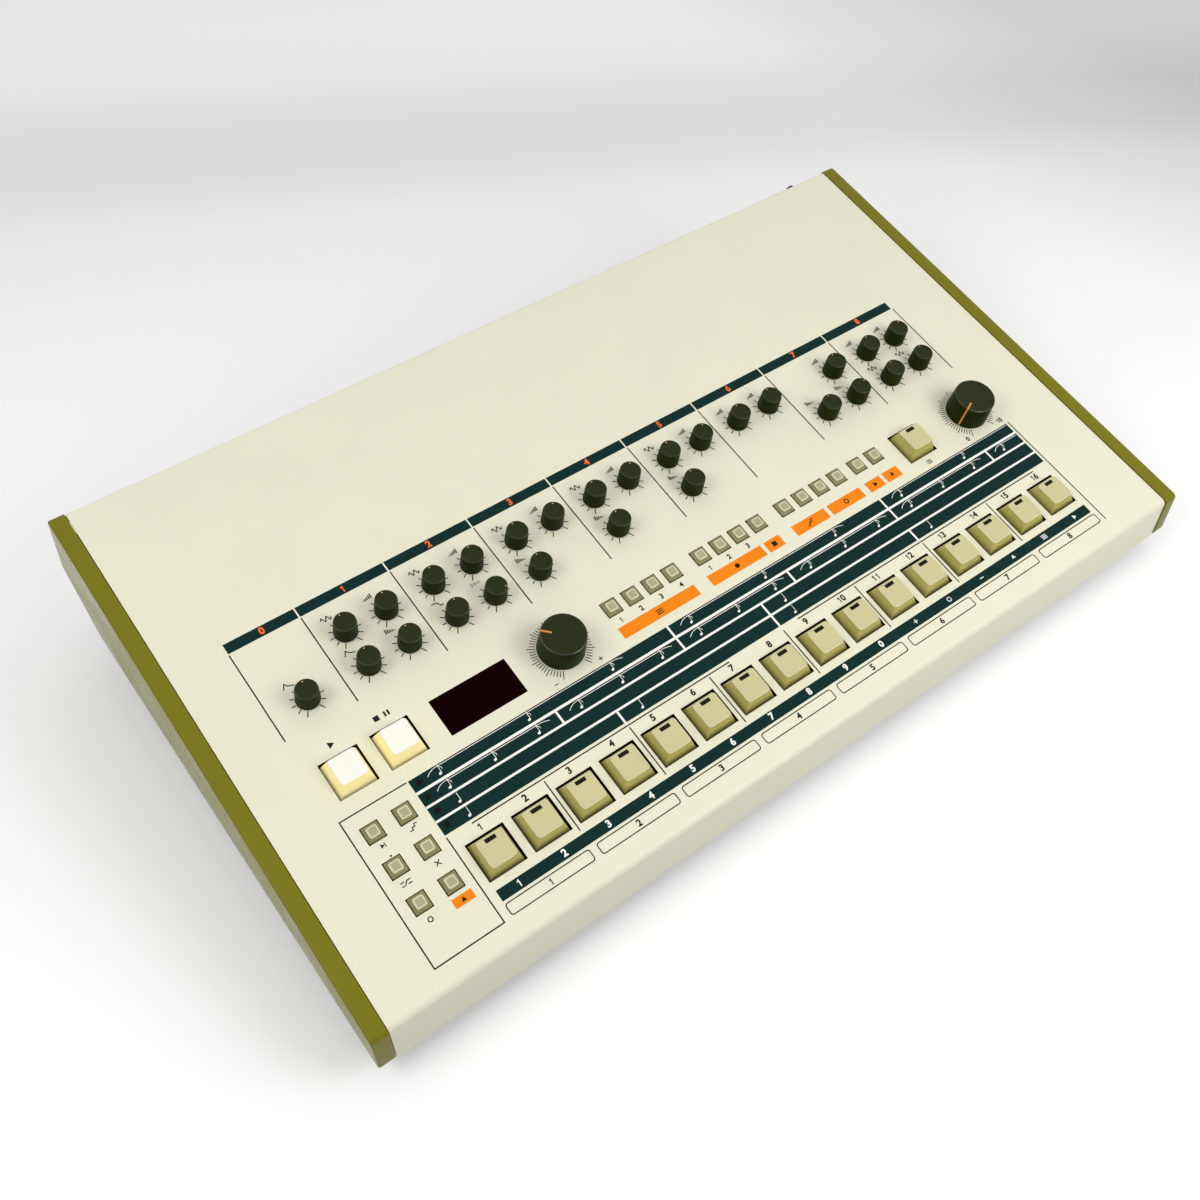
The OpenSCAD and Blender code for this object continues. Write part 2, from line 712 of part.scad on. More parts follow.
module din_socket(x) {
    color("#2b2b28") socket(x, socket_s, din_bore, din_collar_d, din_nose, din_bush_d,
        din_body, din_depth, 48);
}
// The cartridge slot: a rim on the plate and a sleeve behind it
module cartridge_slot() {
    w = slot_w + 2 * slot_wall;
    h = slot_h + 2 * slot_wall;
    color("#2f2f2b") on_rear(slot_x, socket_s, rear_face) difference() {
        union() {
            block(w + 2 * slot_rim, h + 2 * slot_rim, 0, rim_h);
            block(w, h, -slot_depth, 0);
        }
        block(slot_w, slot_h, -slot_depth + slot_wall, rim_h + 1);
    }
}
rocker_pivot_drop = 4;
module switch_housing() {
    w = rocker_w + 2 * slot_wall;
    l = rocker_l + 2 * slot_wall;
    color("#1f1f1d") on_rear(rocker_x, socket_s, rear_face) difference() {
        union() {
            block(w + 2 * rocker_rim, l + 2 * rocker_rim, 0, rim_h);
            block(w, l, -slot_depth, 0);
        }
        block(rocker_w, rocker_l, -rocker_room, rim_h + 1);
    }
}
cord_bore = 6.8;
gland_flange_h = 2;
gland_rim = 2;
gland_taper = 0.8;
gland_back = 5;
gland_floor = 2;
module cord_gland() {
    color("#1c1c1a") on_rear(gland_x, gland_s, rear_face) difference() {
        union() {
            rod(gland_d + 2 * gland_rim, 0, gland_flange_h);
            translate([0, 0, gland_flange_h])
                cylinder(h = gland_h - gland_flange_h, d1 = gland_d, d2 = gland_d - 2 * gland_taper);
            rod(gland_bush_d, -gland_back, 0);
        }
        rod(cord_bore, -gland_back + gland_floor, gland_h + 1);
    }
}
module rear_fittings() {
    for (i = [0 : jack_count - 1]) phone_jack(jack_x(i));
    for (s = mini_ss) mini_jack(s);
    for (x = din_xs) din_socket(x);
    cartridge_slot();
    switch_housing();
    cord_gland();
}

// The power rocker, resting with its lower end pressed
rocker_side = 0.4;
rocker_end = 1.2;
module power_rocker() {
    half = rocker_l / 2 - rocker_end;
    color("#161615") on_rear(rocker_x, socket_s, rear_face - rocker_pivot_drop)
        rotate([-rocker_turn / 2, 0, 0]) rotate([90, 0, 90])
            linear_extrude(rocker_w - 2 * rocker_side, center = true)
                polygon([[-half, -2.5], [half, -2.5], [half, 5.6], [0, 4.6], [-half, 5.6]]);
}

// ---- Feet and screws ----
foot_taper = 2;
foot_edge_r = 1.2;
module rubber_feet() {
    color("#1d1d1c") for (x = foot_xs, y = foot_ys) translate([x, y, 0]) difference() {
        rotate_extrude() polygon(rounded(
            [[0, 0], [foot_d / 2 - foot_taper, 0], [foot_d / 2, foot_h], [0, foot_h]],
            [0, foot_edge_r, 0, 0]));
        rod(screw_head_d + 1.4, -1, foot_h / 2);
        rod(screw_d + 2 * screw_gap, 0, foot_h + 1);
    }
}
cross_l = 3;
cross_w = 0.7;
cross_depth = 0.8;
module cross(top) {
    for (turn = [0, 90]) rotate(turn) block(cross_l, cross_w, top - cross_depth, top + 1);
}
// A pan head screw with its head's seat at zero and its shank below
module screw(length, head_d = screw_head_d) {
    difference() {
        rotate_extrude() polygon(rounded(
            [[0, 0], [head_d / 2, 0], [head_d / 2, screw_head_h], [0, screw_head_h]],
            [0, 0, 1, 0]));
        cross(screw_head_h);
    }
    rod(screw_d, -length, tiny);
}
// A countersunk head, or its seat in the sheet, which is wider by a gap and runs over the face
module cone(gap, over) {
    h = flat_head_h + gap + over;
    translate([0, 0, over - h]) cylinder(h = h, d1 = screw_d, d2 = screw_d + 2 * h);
}
// A countersunk screw, its head flush at zero
module flat_screw(length) {
    difference() {
        cone(0, 0);
        cross(0);
    }
    rod(screw_d, -length, tiny - flat_head_h);
}
module screw_hole(depth) {
    rod(screw_d + 2 * screw_gap, -depth, 1);
}
module case_screws() {
    cheek_screw_l = cheek_t / 2 + seam + sheet_t - 0.5;
    color("#8f8f8a") {
        for (x = foot_xs, y = foot_ys)
            translate([x, y, foot_h / 2]) rotate([180, 0, 0]) screw(foot_h / 2 + screw_bite);
        for (x = lip_screw_xs, s = lip_screw_ss) on_rear(x, s)
            if (x == earth_screw_x && s == lip_s) screw(screw_bite, earth_head_d);
            else flat_screw(screw_bite);
        for (side = [-1, 1], y = cheek_screw_ys)
            translate([side * (case_w / 2 - sheet_t), y, cheek_screw_z])
                rotate([0, -side * 90, 0]) screw(cheek_screw_l);
    }
}

top_panel();
chassis_pan();
jack_panel();
left_cheek();
right_cheek();
display_window();
circuit_boards();
rear_fittings();
power_rocker();
rubber_feet();
case_screws();
small_buttons();
start_key();
stop_key();
enter_key();
for (i = [0 : step_count - 1])
    step_key(i);
small_knob(accent_x, knob_front, accent_turn);  // accent_knob
for (k = SMALL_KNOBS)
    small_knob(small_knob_x(k), small_knob_y(k), k[4]);
dial(tempo_x, tempo_turn);  // tempo_knob
dial(volume_x, volume_turn);  // volume_knob
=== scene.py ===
"""A desktop drum machine, dressed for rendering.

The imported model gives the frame. Pieces of the control panel are modelled flat in millimetres,
x from the panel's left edge, y up its slope and z above its face, and seat() scales them and
lays them on the slope.
"""
import math

import bpy
from mathutils import Matrix, Vector


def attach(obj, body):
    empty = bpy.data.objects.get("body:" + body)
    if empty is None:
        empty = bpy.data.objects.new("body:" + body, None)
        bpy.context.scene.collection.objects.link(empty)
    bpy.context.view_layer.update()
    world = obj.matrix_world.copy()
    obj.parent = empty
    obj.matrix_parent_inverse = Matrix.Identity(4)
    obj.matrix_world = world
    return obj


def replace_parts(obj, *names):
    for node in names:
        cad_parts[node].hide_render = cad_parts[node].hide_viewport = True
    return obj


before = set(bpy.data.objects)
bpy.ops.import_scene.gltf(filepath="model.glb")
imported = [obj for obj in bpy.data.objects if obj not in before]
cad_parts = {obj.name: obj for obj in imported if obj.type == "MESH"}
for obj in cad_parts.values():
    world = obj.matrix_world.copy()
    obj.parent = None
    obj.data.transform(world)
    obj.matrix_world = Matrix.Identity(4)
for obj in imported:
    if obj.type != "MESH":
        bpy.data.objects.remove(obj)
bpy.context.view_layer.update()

# ---- Sizes in millimetres, as the case is built ----
MM = 0.001
BODY_W, BODY_D = 486.0, 300.0
SHEET_T = 1.6
# The cheeks stand proud of the case all round
CHEEK_T, PROUD = 8.0, 0.6
SLOPE = math.radians(13)
PANEL_W = BODY_W - 2 * CHEEK_T
PANEL_LEN = 277.5
# The case's outline from the side: the panel's front and rear edges, the ridge where the slanted
# rear meets the bevel under it, and that bevel's lower edge
FRONT_Y, FRONT_Z = PROUD - BODY_D / 2, 37.0
REAR_Y = FRONT_Y + PANEL_LEN * math.cos(SLOPE)
REAR_Z = FRONT_Z + PANEL_LEN * math.sin(SLOPE)
RIDGE_Y, RIDGE_Z = BODY_D / 2 - PROUD, 45.0
UNDER_Y, FOOT_H = 126.4, 12.0
LEAN = math.atan((RIDGE_Y - REAR_Y) / (REAR_Z - RIDGE_Z))
PANEL = (Matrix.Scale(MM, 4) @ Matrix.Translation((0, FRONT_Y, FRONT_Z))
         @ Matrix.Rotation(SLOPE, 4, "X") @ Matrix.Translation((-PANEL_W / 2, 0, 0)))
# On the slanted rear: x across, y down from the top edge, z outwards
REAR = (Matrix.Scale(MM, 4) @ Matrix.Translation((0, REAR_Y, REAR_Z))
        @ Matrix.Rotation(LEAN - math.pi / 2, 4, "X"))
CASE = Matrix.Scale(MM, 4)

# The printed sections' edges from left to right, and the knobs' places in a section
FIRST_EDGE, SECTION_X, SECTION_PITCH, LAST_EDGE = 27.0, 62.2, 45.9, 432.5
SECTION_EDGES = [FIRST_EDGE] + [SECTION_X + k * SECTION_PITCH for k in range(8)] + [LAST_EDGE]
KNOB_COLUMNS = (12.9, 33.8)
KNOB_ROWS = (137.9, 157.7)
ACCENT_X = 44.8
# The row of the main keys and the dials
MAIN_Y = 99.4
KNOB_D, KNOB_H = 11.2, 9.8
DIAL_D, DIAL_H = 22.6, 13.7
KNOB_GAP = 0.5
KNOB_TAPER = 0.04
KNOB_HOLLOW = 0.3
KNOB_SWEEP = 300
# A small knob's pointer is a short mark at its rim, a dial's starts this far from its middle
SMALL_POINTER_L, SMALL_POINTER_W = 1.3, 0.62
DIAL_POINTER_IN, DIAL_POINTER_W = 5.4, 0.9
POINTER_UP = 0.03

KEY_W, KEY_D, KEY_SKIRT, KEY_FOOT_R = 17.4, 17.6, 5.0, 0.35
KEY_TOP_W, KEY_TOP_D, KEY_TOP_FRONT_R, KEY_TOP_REAR_R = 12.7, 13.1, 2.0, 1.4
KEY_SUNK = 1.6
# The rounding round a cap's top, and how far down its rim painted pale as a highlight reaches
KEY_RIM_R, KEY_HIGHLIGHT_DROP = 0.3, 0.35
# A cap's lamp window: width, depth, corners, place behind the middle, foot under the top, thickness
LENS_W, LENS_D, LENS_R, LENS_Y, LENS_DOWN, LENS_T = 5.3, 2.2, 0.3, 5.0, 0.6, 0.57
STEP_X, STEP_PITCH, STEP_Y, STEP_H = 73.9, 22.95, 36.2, 5.1
MAIN_KEY_H = 6.6
MAIN_KEYS = [("start_key", 41.9), ("stop_key", 66.8), ("enter_key", 376.6)]
LAMP_X, LAMP_FIRST_Y, LAMP_PITCH = 63.7, 57.4, 7.35
# The row of quarter-inch sockets: the first one's distance from the middle, the pitch, how far
# the row lies down the slanted rear, and the bore
JACK_X, JACK_PITCH, JACK_DOWN, JACK_R = 24.0, 15.0, 31.0, 3.4

# Small knobs: node, section, column, row and pointer turn in degrees, as in the photograph
SMALL_KNOBS = [
    ("bass_tune_knob", 1, 0, 1, 4), ("bass_level_knob", 1, 1, 1, -6),
    ("bass_attack_knob", 1, 0, 0, -3), ("bass_decay_knob", 1, 1, 0, -3),
    ("snare_tune_knob", 2, 0, 1, -3), ("snare_level_knob", 2, 1, 1, -6),
    ("snare_tone_knob", 2, 0, 0, -10), ("snare_snap_knob", 2, 1, 0, -124),
    ("low_tom_tune_knob", 3, 0, 1, -1), ("low_tom_level_knob", 3, 1, 1, -28),
    ("low_tom_decay_knob", 3, 0, 0, 0), ("mid_tom_tune_knob", 4, 0, 1, -2),
    ("mid_tom_level_knob", 4, 1, 1, -32), ("mid_tom_decay_knob", 4, 0, 0, 0),
    ("high_tom_tune_knob", 5, 0, 1, -4), ("high_tom_level_knob", 5, 1, 1, -32),
    ("high_tom_decay_knob", 5, 0, 0, -2), ("rim_level_knob", 6, 0, 1, -2),
    ("clap_level_knob", 6, 1, 1, 0), ("hat_level_knob", 7, 1, 1, -4),
    ("closed_hat_decay_knob", 7, 0, 0, -6), ("open_hat_decay_knob", 7, 1, 0, -60),
    ("crash_level_knob", 8, 0, 1, 0), ("ride_level_knob", 8, 1, 1, -40),
    ("crash_tune_knob", 8, 0, 0, 3), ("ride_tune_knob", 8, 1, 0, -9),
]
small_knobs = [("accent_knob", ACCENT_X, KNOB_ROWS[0], -6)] + [
    (node, SECTION_EDGES[section] + KNOB_COLUMNS[column], KNOB_ROWS[row], turn)
    for node, section, column, row, turn in SMALL_KNOBS]
DIALS = [("tempo_knob", 151.6, MAIN_Y, 48), ("volume_knob", 417.0, MAIN_Y, 113)]
FUNCTION_BUTTONS = [(x, y) for y in (71.1, 53.4, 35.6) for x in (36.6, 51.6)]
MODE_PITCH, MODE_Y = 11.95, 104.2
MODE_BUTTONS = [(x + i * MODE_PITCH, MODE_Y)
                for x, count in ((183.9, 4), (237.4, 4), (291.1, 4), (341.1, 2))
                for i in range(count)]

# How near a point lies to a place that picks it, and a hair's breadth beside it
NEAR, HAIR = 0.1, 0.01


# ---- Working with pieces ----
def only(piece):
    """Selects one piece alone."""
    bpy.ops.object.select_all(action="DESELECT")
    piece.select_set(True)
    bpy.context.view_layer.objects.active = piece


def apply_place():
    """Puts the place of the piece that is selected into its mesh."""
    bpy.ops.object.transform_apply(location=True, rotation=True, scale=True)


def another(piece):
    """A copy of a piece with its own mesh."""
    copy = piece.copy()
    copy.data = piece.data.copy()
    bpy.context.scene.collection.objects.link(copy)
    return copy


def seat(piece, name, body, place=PANEL):
    """Sets a finished piece in its place, in metres, and lets it ride on its body."""
    only(piece)
    piece.name = piece.data.name = name
    piece.matrix_world = place
    apply_place()
    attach(piece, body)
    return piece


def merge(pieces):
    """Joins pieces into the first one."""
    only(pieces[0])
    for piece in pieces:
        piece.select_set(True)
    bpy.ops.object.join()
    return pieces[0]


def repeat(piece, places):
    """Copies a piece, with its own mesh each time, to (x, y) places and joins the copies."""
    copies = []
    for x, y in places:
        copy = another(piece)
        copy.matrix_world = Matrix.Translation((x, y, 0))
        copies.append(copy)
    bpy.data.objects.remove(piece)
    first = merge(copies)
    only(first)
    apply_place()
    return first


def choose(piece, kind, test):
    """Opens a piece for editing with the faces, edges or vertices selected that pass a test."""
    only(piece)
    bpy.ops.object.mode_set(mode="EDIT")
    bpy.ops.mesh.select_mode(type=kind)
    bpy.ops.mesh.select_all(action="DESELECT")
    bpy.ops.object.mode_set(mode="OBJECT")
    mesh = piece.data
    if kind == "FACE":
        for face in mesh.polygons:
            face.select = test(face.center, face.normal)
    elif kind == "EDGE":
        for edge in mesh.edges:
            edge.select = test(*(mesh.vertices[i].co for i in edge.vertices))
    else:
        for vertex in mesh.vertices:
            vertex.select = test(vertex.co)
    bpy.ops.object.mode_set(mode="EDIT")


def open_whole(piece):
    """Opens a piece for editing with all its faces selected."""
    choose(piece, "FACE", lambda middle, normal: True)


def face_outwards():
    """Turns the faces of the piece that is open for editing outwards and leaves all selected."""
    bpy.ops.mesh.select_all(action="SELECT")
    bpy.ops.mesh.normals_make_consistent(inside=False)


def done():
    """Closes the piece that is open for editing."""
    bpy.ops.object.mode_set(mode="OBJECT")


def smooth(piece, angle):
    """Shades a piece smooth, but keeps edges that turn more than an angle in degrees."""
    only(piece)
    bpy.ops.object.shade_smooth_by_angle(angle=math.radians(angle))


def paint(piece, finish, test=None):
    """Gives a piece a finish, or only its faces that pass a test."""
    piece.data.materials.append(finish)
    for face in piece.data.polygons:
        if test is None or test(face.center, face.normal):
            face.material_index = len(piece.data.materials) - 1


def block(x0, x1, y0, y1, z0, z1):
    """A block between these sides, its place in its mesh."""
    bpy.ops.object.select_all(action="DESELECT")
    bpy.ops.mesh.primitive_cube_add(
        size=1, location=((x0 + x1) / 2, (y0 + y1) / 2, (z0 + z1) / 2),
        scale=(x1 - x0, y1 - y0, z1 - z0))
    apply_place()
    return bpy.context.object


def raise_by(dz, grow=(1, 1), level=0.0):
    """Extrudes what is selected upwards and scales it there."""
    bpy.ops.mesh.extrude_region_move(TRANSFORM_OT_translate={"value": (0, 0, dz)})
    bpy.ops.transform.resize(value=(grow[0], grow[1], 1), center_override=(0, 0, level))


def turned(profile, sides=64):
    """A turned piece: its profile is a list of radius and height, from the foot to the top."""
    bpy.ops.object.select_all(action="DESELECT")
    radius, level = profile[0]
    bpy.ops.mesh.primitive_circle_add(vertices=sides, radius=radius, fill_type="NGON",
                                      location=(0, 0, level))
    apply_place()
    piece = bpy.context.object
    open_whole(piece)
    for (r0, z0), (r1, z1) in zip(profile, profile[1:]):
        raise_by(z1 - z0, (r1 / r0, r1 / r0), z1)
    face_outwards()
    done()
    return piece


def rounded_plate(w, d, level, front_r, rear_r, segments=6):
    """A flat plate with rounded corners."""
    bpy.ops.object.select_all(action="DESELECT")
    bpy.ops.mesh.primitive_plane_add(size=1, location=(0, 0, level))
    bpy.ops.transform.resize(value=(w, d, 1))
    apply_place()
    plate = bpy.context.object
    for radius, sign in ((front_r, -1), (rear_r, 1)):
        choose(plate, "VERT", lambda co: co.y * sign > d / 2 - HAIR)
        bpy.ops.mesh.bevel(offset=radius, segments=segments, affect="VERTICES")
        done()
    return plate


# ---- Materials ----
def linear(code):
    """The linear colour of an sRGB hex code."""
    parts = [int(code[i:i + 2], 16) / 255 for i in (1, 3, 5)]
    return [c / 12.92 if c <= 0.04045 else ((c + 0.055) / 1.055) ** 2.4 for c in parts] + [1.0]


def add(material, kind, settings=None, feeds=(), **links):
    """Adds a node: settings are its properties or inputs, links are the sockets that feed it by
    name, and feeds are the sockets or values for its inputs in their order."""
    tree = material.node_tree
    node = tree.nodes.new(kind)
    for name, value in (settings or {}).items():
        if hasattr(node, name):
            setattr(node, name, value)
        else:
            node.inputs[name].default_value = value
    for name, socket in links.items():
        tree.links.new(socket, node.inputs[name.replace("_", " ")])
    for feed, slot in zip(feeds, node.inputs):
        if isinstance(feed, bpy.types.NodeSocket):
            tree.links.new(feed, slot)
        else:
            slot.default_value = feed
    return node


def new_material(name, code, roughness, **settings):
    """A material with its shader; settings are named as the shader's sockets."""
    material = bpy.data.materials.new(name)
    material.use_nodes = True
    shader = material.node_tree.nodes["Principled BSDF"]
    shader.inputs["Base Color"].default_value = linear(code)
    shader.inputs["Roughness"].default_value = roughness
    for key, value in settings.items():
        shader.inputs[key.replace("_", " ")].default_value = value
    material.diffuse_color = linear(code)
    return material, shader


# Wide, faint clouds make a surface a little uneven, over the middle of the noise's range
CLOUD_MM, GLOSS_SWING, NOISE_LOW, NOISE_HIGH = 35, 0.06, 0.3, 0.7


def plain_surface(name, code, roughness, grain_mm, depth_mm, mottle=0.04, base_shade=None, shine=0.5,
                  **settings):
    """A surface with fine grain in its bump and a slight unevenness of colour and gloss. Base shade
    is painted shade: a height in mm over the control panel below which the surface darkens, and
    how dark it gets where a key's side starts. Shine is the shader's specular level."""
    material, shader = new_material(name, code, roughness, Specular_IOR_Level=shine, **settings)
    place = add(material, "ShaderNodeTexCoord").outputs["Object"]
    grain = add(material, "ShaderNodeTexNoise", {"Scale": 1 / (grain_mm * MM), "Detail": 3.0},
                Vector=place)
    bump = add(material, "ShaderNodeBump", {"Strength": 0.6, "Distance": depth_mm * MM},
               Height=grain.outputs["Fac"])
    clouds = add(material, "ShaderNodeTexNoise", {"Scale": 1 / (CLOUD_MM * MM), "Detail": 4.0},
                 Vector=place)
    tint = add(material, "ShaderNodeHueSaturation", {"Color": linear(code)})
    shade = add(material, "ShaderNodeMapRange",
                {"From Min": NOISE_LOW, "From Max": NOISE_HIGH, "To Min": 1 - mottle,
                 "To Max": 1 + mottle}, Value=clouds.outputs["Fac"])
    gloss = add(material, "ShaderNodeMapRange",
                {"From Min": NOISE_LOW, "From Max": NOISE_HIGH, "To Min": roughness - GLOSS_SWING,
                 "To Max": roughness + GLOSS_SWING}, Value=clouds.outputs["Fac"])
    links = material.node_tree.links
    value = shade.outputs["Result"]
    if base_shade:
        over = add(material, "ShaderNodeVectorMath", {"operation": "DOT_PRODUCT"},
                   (place, (0.0, -math.sin(SLOPE), math.cos(SLOPE))))
        face = FRONT_Z * math.cos(SLOPE) - FRONT_Y * math.sin(SLOPE)
        painted_base_shade = add(material, "ShaderNodeMapRange",
                   {"From Min": (face - KEY_SUNK) * MM, "From Max": (face + base_shade[0]) * MM,
                    "To Min": base_shade[1], "To Max": 1.0}, Value=over.outputs["Value"])
        value = add(material, "ShaderNodeMath", {"operation": "MULTIPLY"},
                    (value, painted_base_shade.outputs["Result"])).outputs["Value"]
    if "Emission_Strength" in settings:
        links.new(tint.outputs["Color"], shader.inputs["Emission Color"])
    links.new(value, tint.inputs["Value"])
    links.new(tint.outputs["Color"], shader.inputs["Base Color"])
    links.new(gloss.outputs["Result"], shader.inputs["Roughness"])
    links.new(bump.outputs["Normal"], shader.inputs["Normal"])
    return material


# Real moulded grain is finer than a tenth of a millimetre. It wouldn't show, so the grains below
# are drawn at 0.3 mm and more

# Powder coat on sheet steel: an even satin skin with a faint orange peel
ivory_coat = plain_surface("powder_coat_ivory", "#EDEBD1", 0.48, 0.9, 0.012, 0.012)
pan_coat = plain_surface("powder_coat_grey", "#B9B6A4", 0.5, 0.9, 0.012, 0.03)
# Moulded ABS with a fine spark-eroded grain; the cheeks' outer sides are smoother and are painted
# paler, a painted reflection of the white floor
olive_abs = plain_surface("moulded_abs_olive", "#7A7610", 0.34, 0.5, 0.02, 0.03, shine=0.18)
olive_reflecting_flank = plain_surface("moulded_abs_olive_flank_painted_reflection", "#918F24", 0.27, 0.5, 0.006, 0.03, shine=0.1)
# Keycaps: a pale top on a body painted deeper and more yellow as shade, darker towards its foot
beige_shaded_body = plain_surface("moulded_abs_beige_body_painted_shade", "#BDB464", 0.45, 0.35, 0.012, 0.03,
                           (2.6, 0.42), shine=0.3)
beige_top = plain_surface("moulded_abs_beige_top", "#D0C997", 0.5, 0.35, 0.012, 0.015, shine=0.35)
# The rim round a cap's top is painted pale as a highlight
beige_highlight_edge = plain_surface("moulded_abs_beige_painted_highlight_edge", "#E6E2BC", 0.35, 0.35, 0.012, 0.015)
# The white keys' body: painted yellower as shade, darker towards its foot, with a painted glow
white_glowing_body = plain_surface("moulded_abs_cream_body_painted_glow", "#FFEEA8", 0.4, 0.35, 0.012, 0.02,
                           (0.8, 0.75), Emission_Strength=0.2)
white_top = plain_surface("moulded_abs_white_top", "#FFFEF0", 0.45, 0.35, 0.012, 0.008)
# Knobs: a matt top, a rim polished by fingers, most on the dials, and a flank painted darker as shade
knob_abs = plain_surface("moulded_abs_olive_black", "#262D0C", 0.4, 0.35, 0.012, 0.05, shine=0.14)
knob_rim = plain_surface("moulded_abs_olive_black_rim", "#262C0C", 0.16, 0.35, 0.004, 0.05, shine=0.7)
small_knob_rim = plain_surface("moulded_abs_olive_black_small_rim", "#2C3310", 0.28, 0.35, 0.004,
                               0.05, shine=0.32)
knob_shaded_flank = plain_surface("moulded_abs_olive_black_flank_painted_shade", "#212B05", 0.42, 0.35, 0.012, 0.05, shine=0.04)
# Moulded ABS buttons: a matt surround, a pad with a slight sheen and its border painted pale as a
# highlight
rim_abs = plain_surface("moulded_abs_button_surround", "#8B8656", 0.45, 0.35, 0.012, 0.03)
pad_abs = plain_surface("moulded_abs_button_pad", "#AFAA86", 0.35, 0.35, 0.01, 0.03)
pad_highlight_abs = plain_surface("moulded_abs_button_pad_painted_highlight", "#D8D4B2", 0.35, 0.35, 0.01, 0.02)
# Moulded ABS of the sockets and the rocker: black with a soft, even sheen
black_abs = plain_surface("moulded_abs_black", "#1E1E1C", 0.4, 0.4, 0.02, 0.04)
# Screen-printed ink: thin, opaque and a little flatter than the coat below
teal_ink = plain_surface("printed_ink_teal", "#042B28", 0.5, 0.6, 0.006, 0.07, shine=0.12)
dark_ink = plain_surface("printed_ink_dark", "#191B0C", 0.6, 0.6, 0.006, 0.05, shine=0.2)
orange_ink = plain_surface("printed_ink_orange", "#FA8800", 0.55, 0.6, 0.006, 0.03, shine=0.2)
coral_ink = plain_surface("printed_ink_coral", "#F6702E", 0.55, 0.6, 0.006, 0.03, shine=0.2)
white_ink = plain_surface("printed_ink_white", "#FBFAF2", 0.55, 0.6, 0.006, 0.01)
# Acrylic tinted dark red: nearly black, with a polished face
red_acrylic = plain_surface("tinted_acrylic_red", "#130001", 0.08, 8.0, 0.002, 0.05, shine=0.02)
# Lamp windows of tinted polycarbonate, and lamps of dark epoxy
lamp_green = plain_surface("tinted_polycarbonate_green", "#101807", 0.22, 2.0, 0.004, 0.05, shine=0.15)
lamp_dark = plain_surface("lamp_epoxy_dark", "#080907", 0.3, 2.0, 0.004, 0.05, shine=0.15)
# Pointer paint: orange on the dials, worn paler on the small knobs
pointer_paint = plain_surface("pointer_paint_orange", "#D68F42", 0.5, 0.3, 0.004, 0.03)
pale_pointer_paint = plain_surface("pointer_paint_pale_orange", "#F2BE7C", 0.5, 0.3, 0.004, 0.03)
# Moulded rubber of the feet: dull all over
rubber = plain_surface("moulded_rubber_black", "#161615", 0.8, 0.5, 0.03, 0.05)
# Nickel-plated nuts shine with a yellowish grey, and blackened screws keep a dull metal sheen
plated = plain_surface("nickel_plated_brass", "#B9B6AA", 0.28, 0.5, 0.004, 0.04, Metallic=1.0)
black_oxide = plain_surface("black_oxide_steel", "#2A2A2A", 0.4, 0.5, 0.006, 0.05, Metallic=1.0)
# Pressed phenolic paper of the circuit boards, seen only through gaps: its brown painted near black as
# the shade there
board_resin_shaded = plain_surface("phenolic_board_painted_shade", "#2A2113", 0.6, 0.6, 0.01, 0.05)
# Painted shade: the cut edges of the openings are coloured black, so that the gaps round the keys read
# black
opening_shade_black = plain_surface("opening_edges_painted_shade", "#0B0B09", 0.9, 0.4, 0.006, 0.05, shine=0.1)

NODE_MATERIALS = {
    "top_panel": ivory_coat, "chassis_pan": pan_coat, "jack_panel": ivory_coat,
    "left_cheek": olive_abs, "right_cheek": olive_abs, "display_window": red_acrylic,
    "circuit_boards": board_resin_shaded, "rear_fittings": black_abs, "rubber_feet": rubber,
    "case_screws": black_oxide, "power_rocker": black_abs, "small_buttons": rim_abs,
}
for node, mesh_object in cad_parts.items():
    finish = NODE_MATERIALS.get(node, knob_abs if node.endswith("_knob") else beige_shaded_body)
    mesh_object.data.materials.clear()
    mesh_object.data.materials.append(finish)


def smoothed_copy(node, name, angle=25):
    """A copy of a CAD solid, its corners merged and its rounds smooth, that stands for it."""
    copy = another(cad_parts[node])
    copy.parent = None
    copy.matrix_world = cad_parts[node].matrix_world.copy()
    copy.hide_render = False
    open_whole(copy)
    bpy.ops.mesh.remove_doubles(threshold=0.001 * MM)
    done()
    smooth(copy, angle)
    seat(copy, name, "case", Matrix())
    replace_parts(copy, node)
    return copy


# ---- Case ----
folded_top = smoothed_copy("top_panel", "folded_top")
to_panel = PANEL.inverted()
# The openings keep this far from the panel's sides and front, and from its rear
SIDE_MARGIN, REAR_MARGIN = 4, 6


def on_opening(middle, normal):
    """Whether a face is the cut edge of an opening in the control panel."""
    x, y, z = to_panel @ middle
    leaning = normal.y * math.sin(SLOPE) - normal.z * math.cos(SLOPE)
    inside = SIDE_MARGIN < x < PANEL_W - SIDE_MARGIN and SIDE_MARGIN < y < PANEL_LEN - REAR_MARGIN
    return inside and -SHEET_T < z < -2 * HAIR and abs(leaning) < 0.5


# The openings' cut edges are coloured black as painted shade
paint(folded_top, opening_shade_black, on_opening)
smoothed_copy("chassis_pan", "folded_pan")
smoothed_copy("rubber_feet", "moulded_feet")

# Cheeks: a block cut along the panel, the rear slope and the bevel under it, its corners and
# its outer edge rounded
CHEEK_TOP_Y = REAR_Y + PROUD * math.tan(math.pi / 4 - (LEAN + SLOPE) / 2)
CHEEK_CORNERS = [(FRONT_Y - PROUD, FRONT_Z + PROUD), (CHEEK_TOP_Y, REAR_Z + PROUD),
                 (RIDGE_Y + PROUD, RIDGE_Z), (UNDER_Y + PROUD, FOOT_H), (FRONT_Y - PROUD, FOOT_H)]
# How wide each bevel is, and the corners that it rounds
CORNER_BEVELS = [(2.1, (0, 1)), (3.1, (2,)), (2.4, (3,)), (2.6, (4,))]
OUTER_BEVEL, INNER_BEVEL = 1.0, 0.35


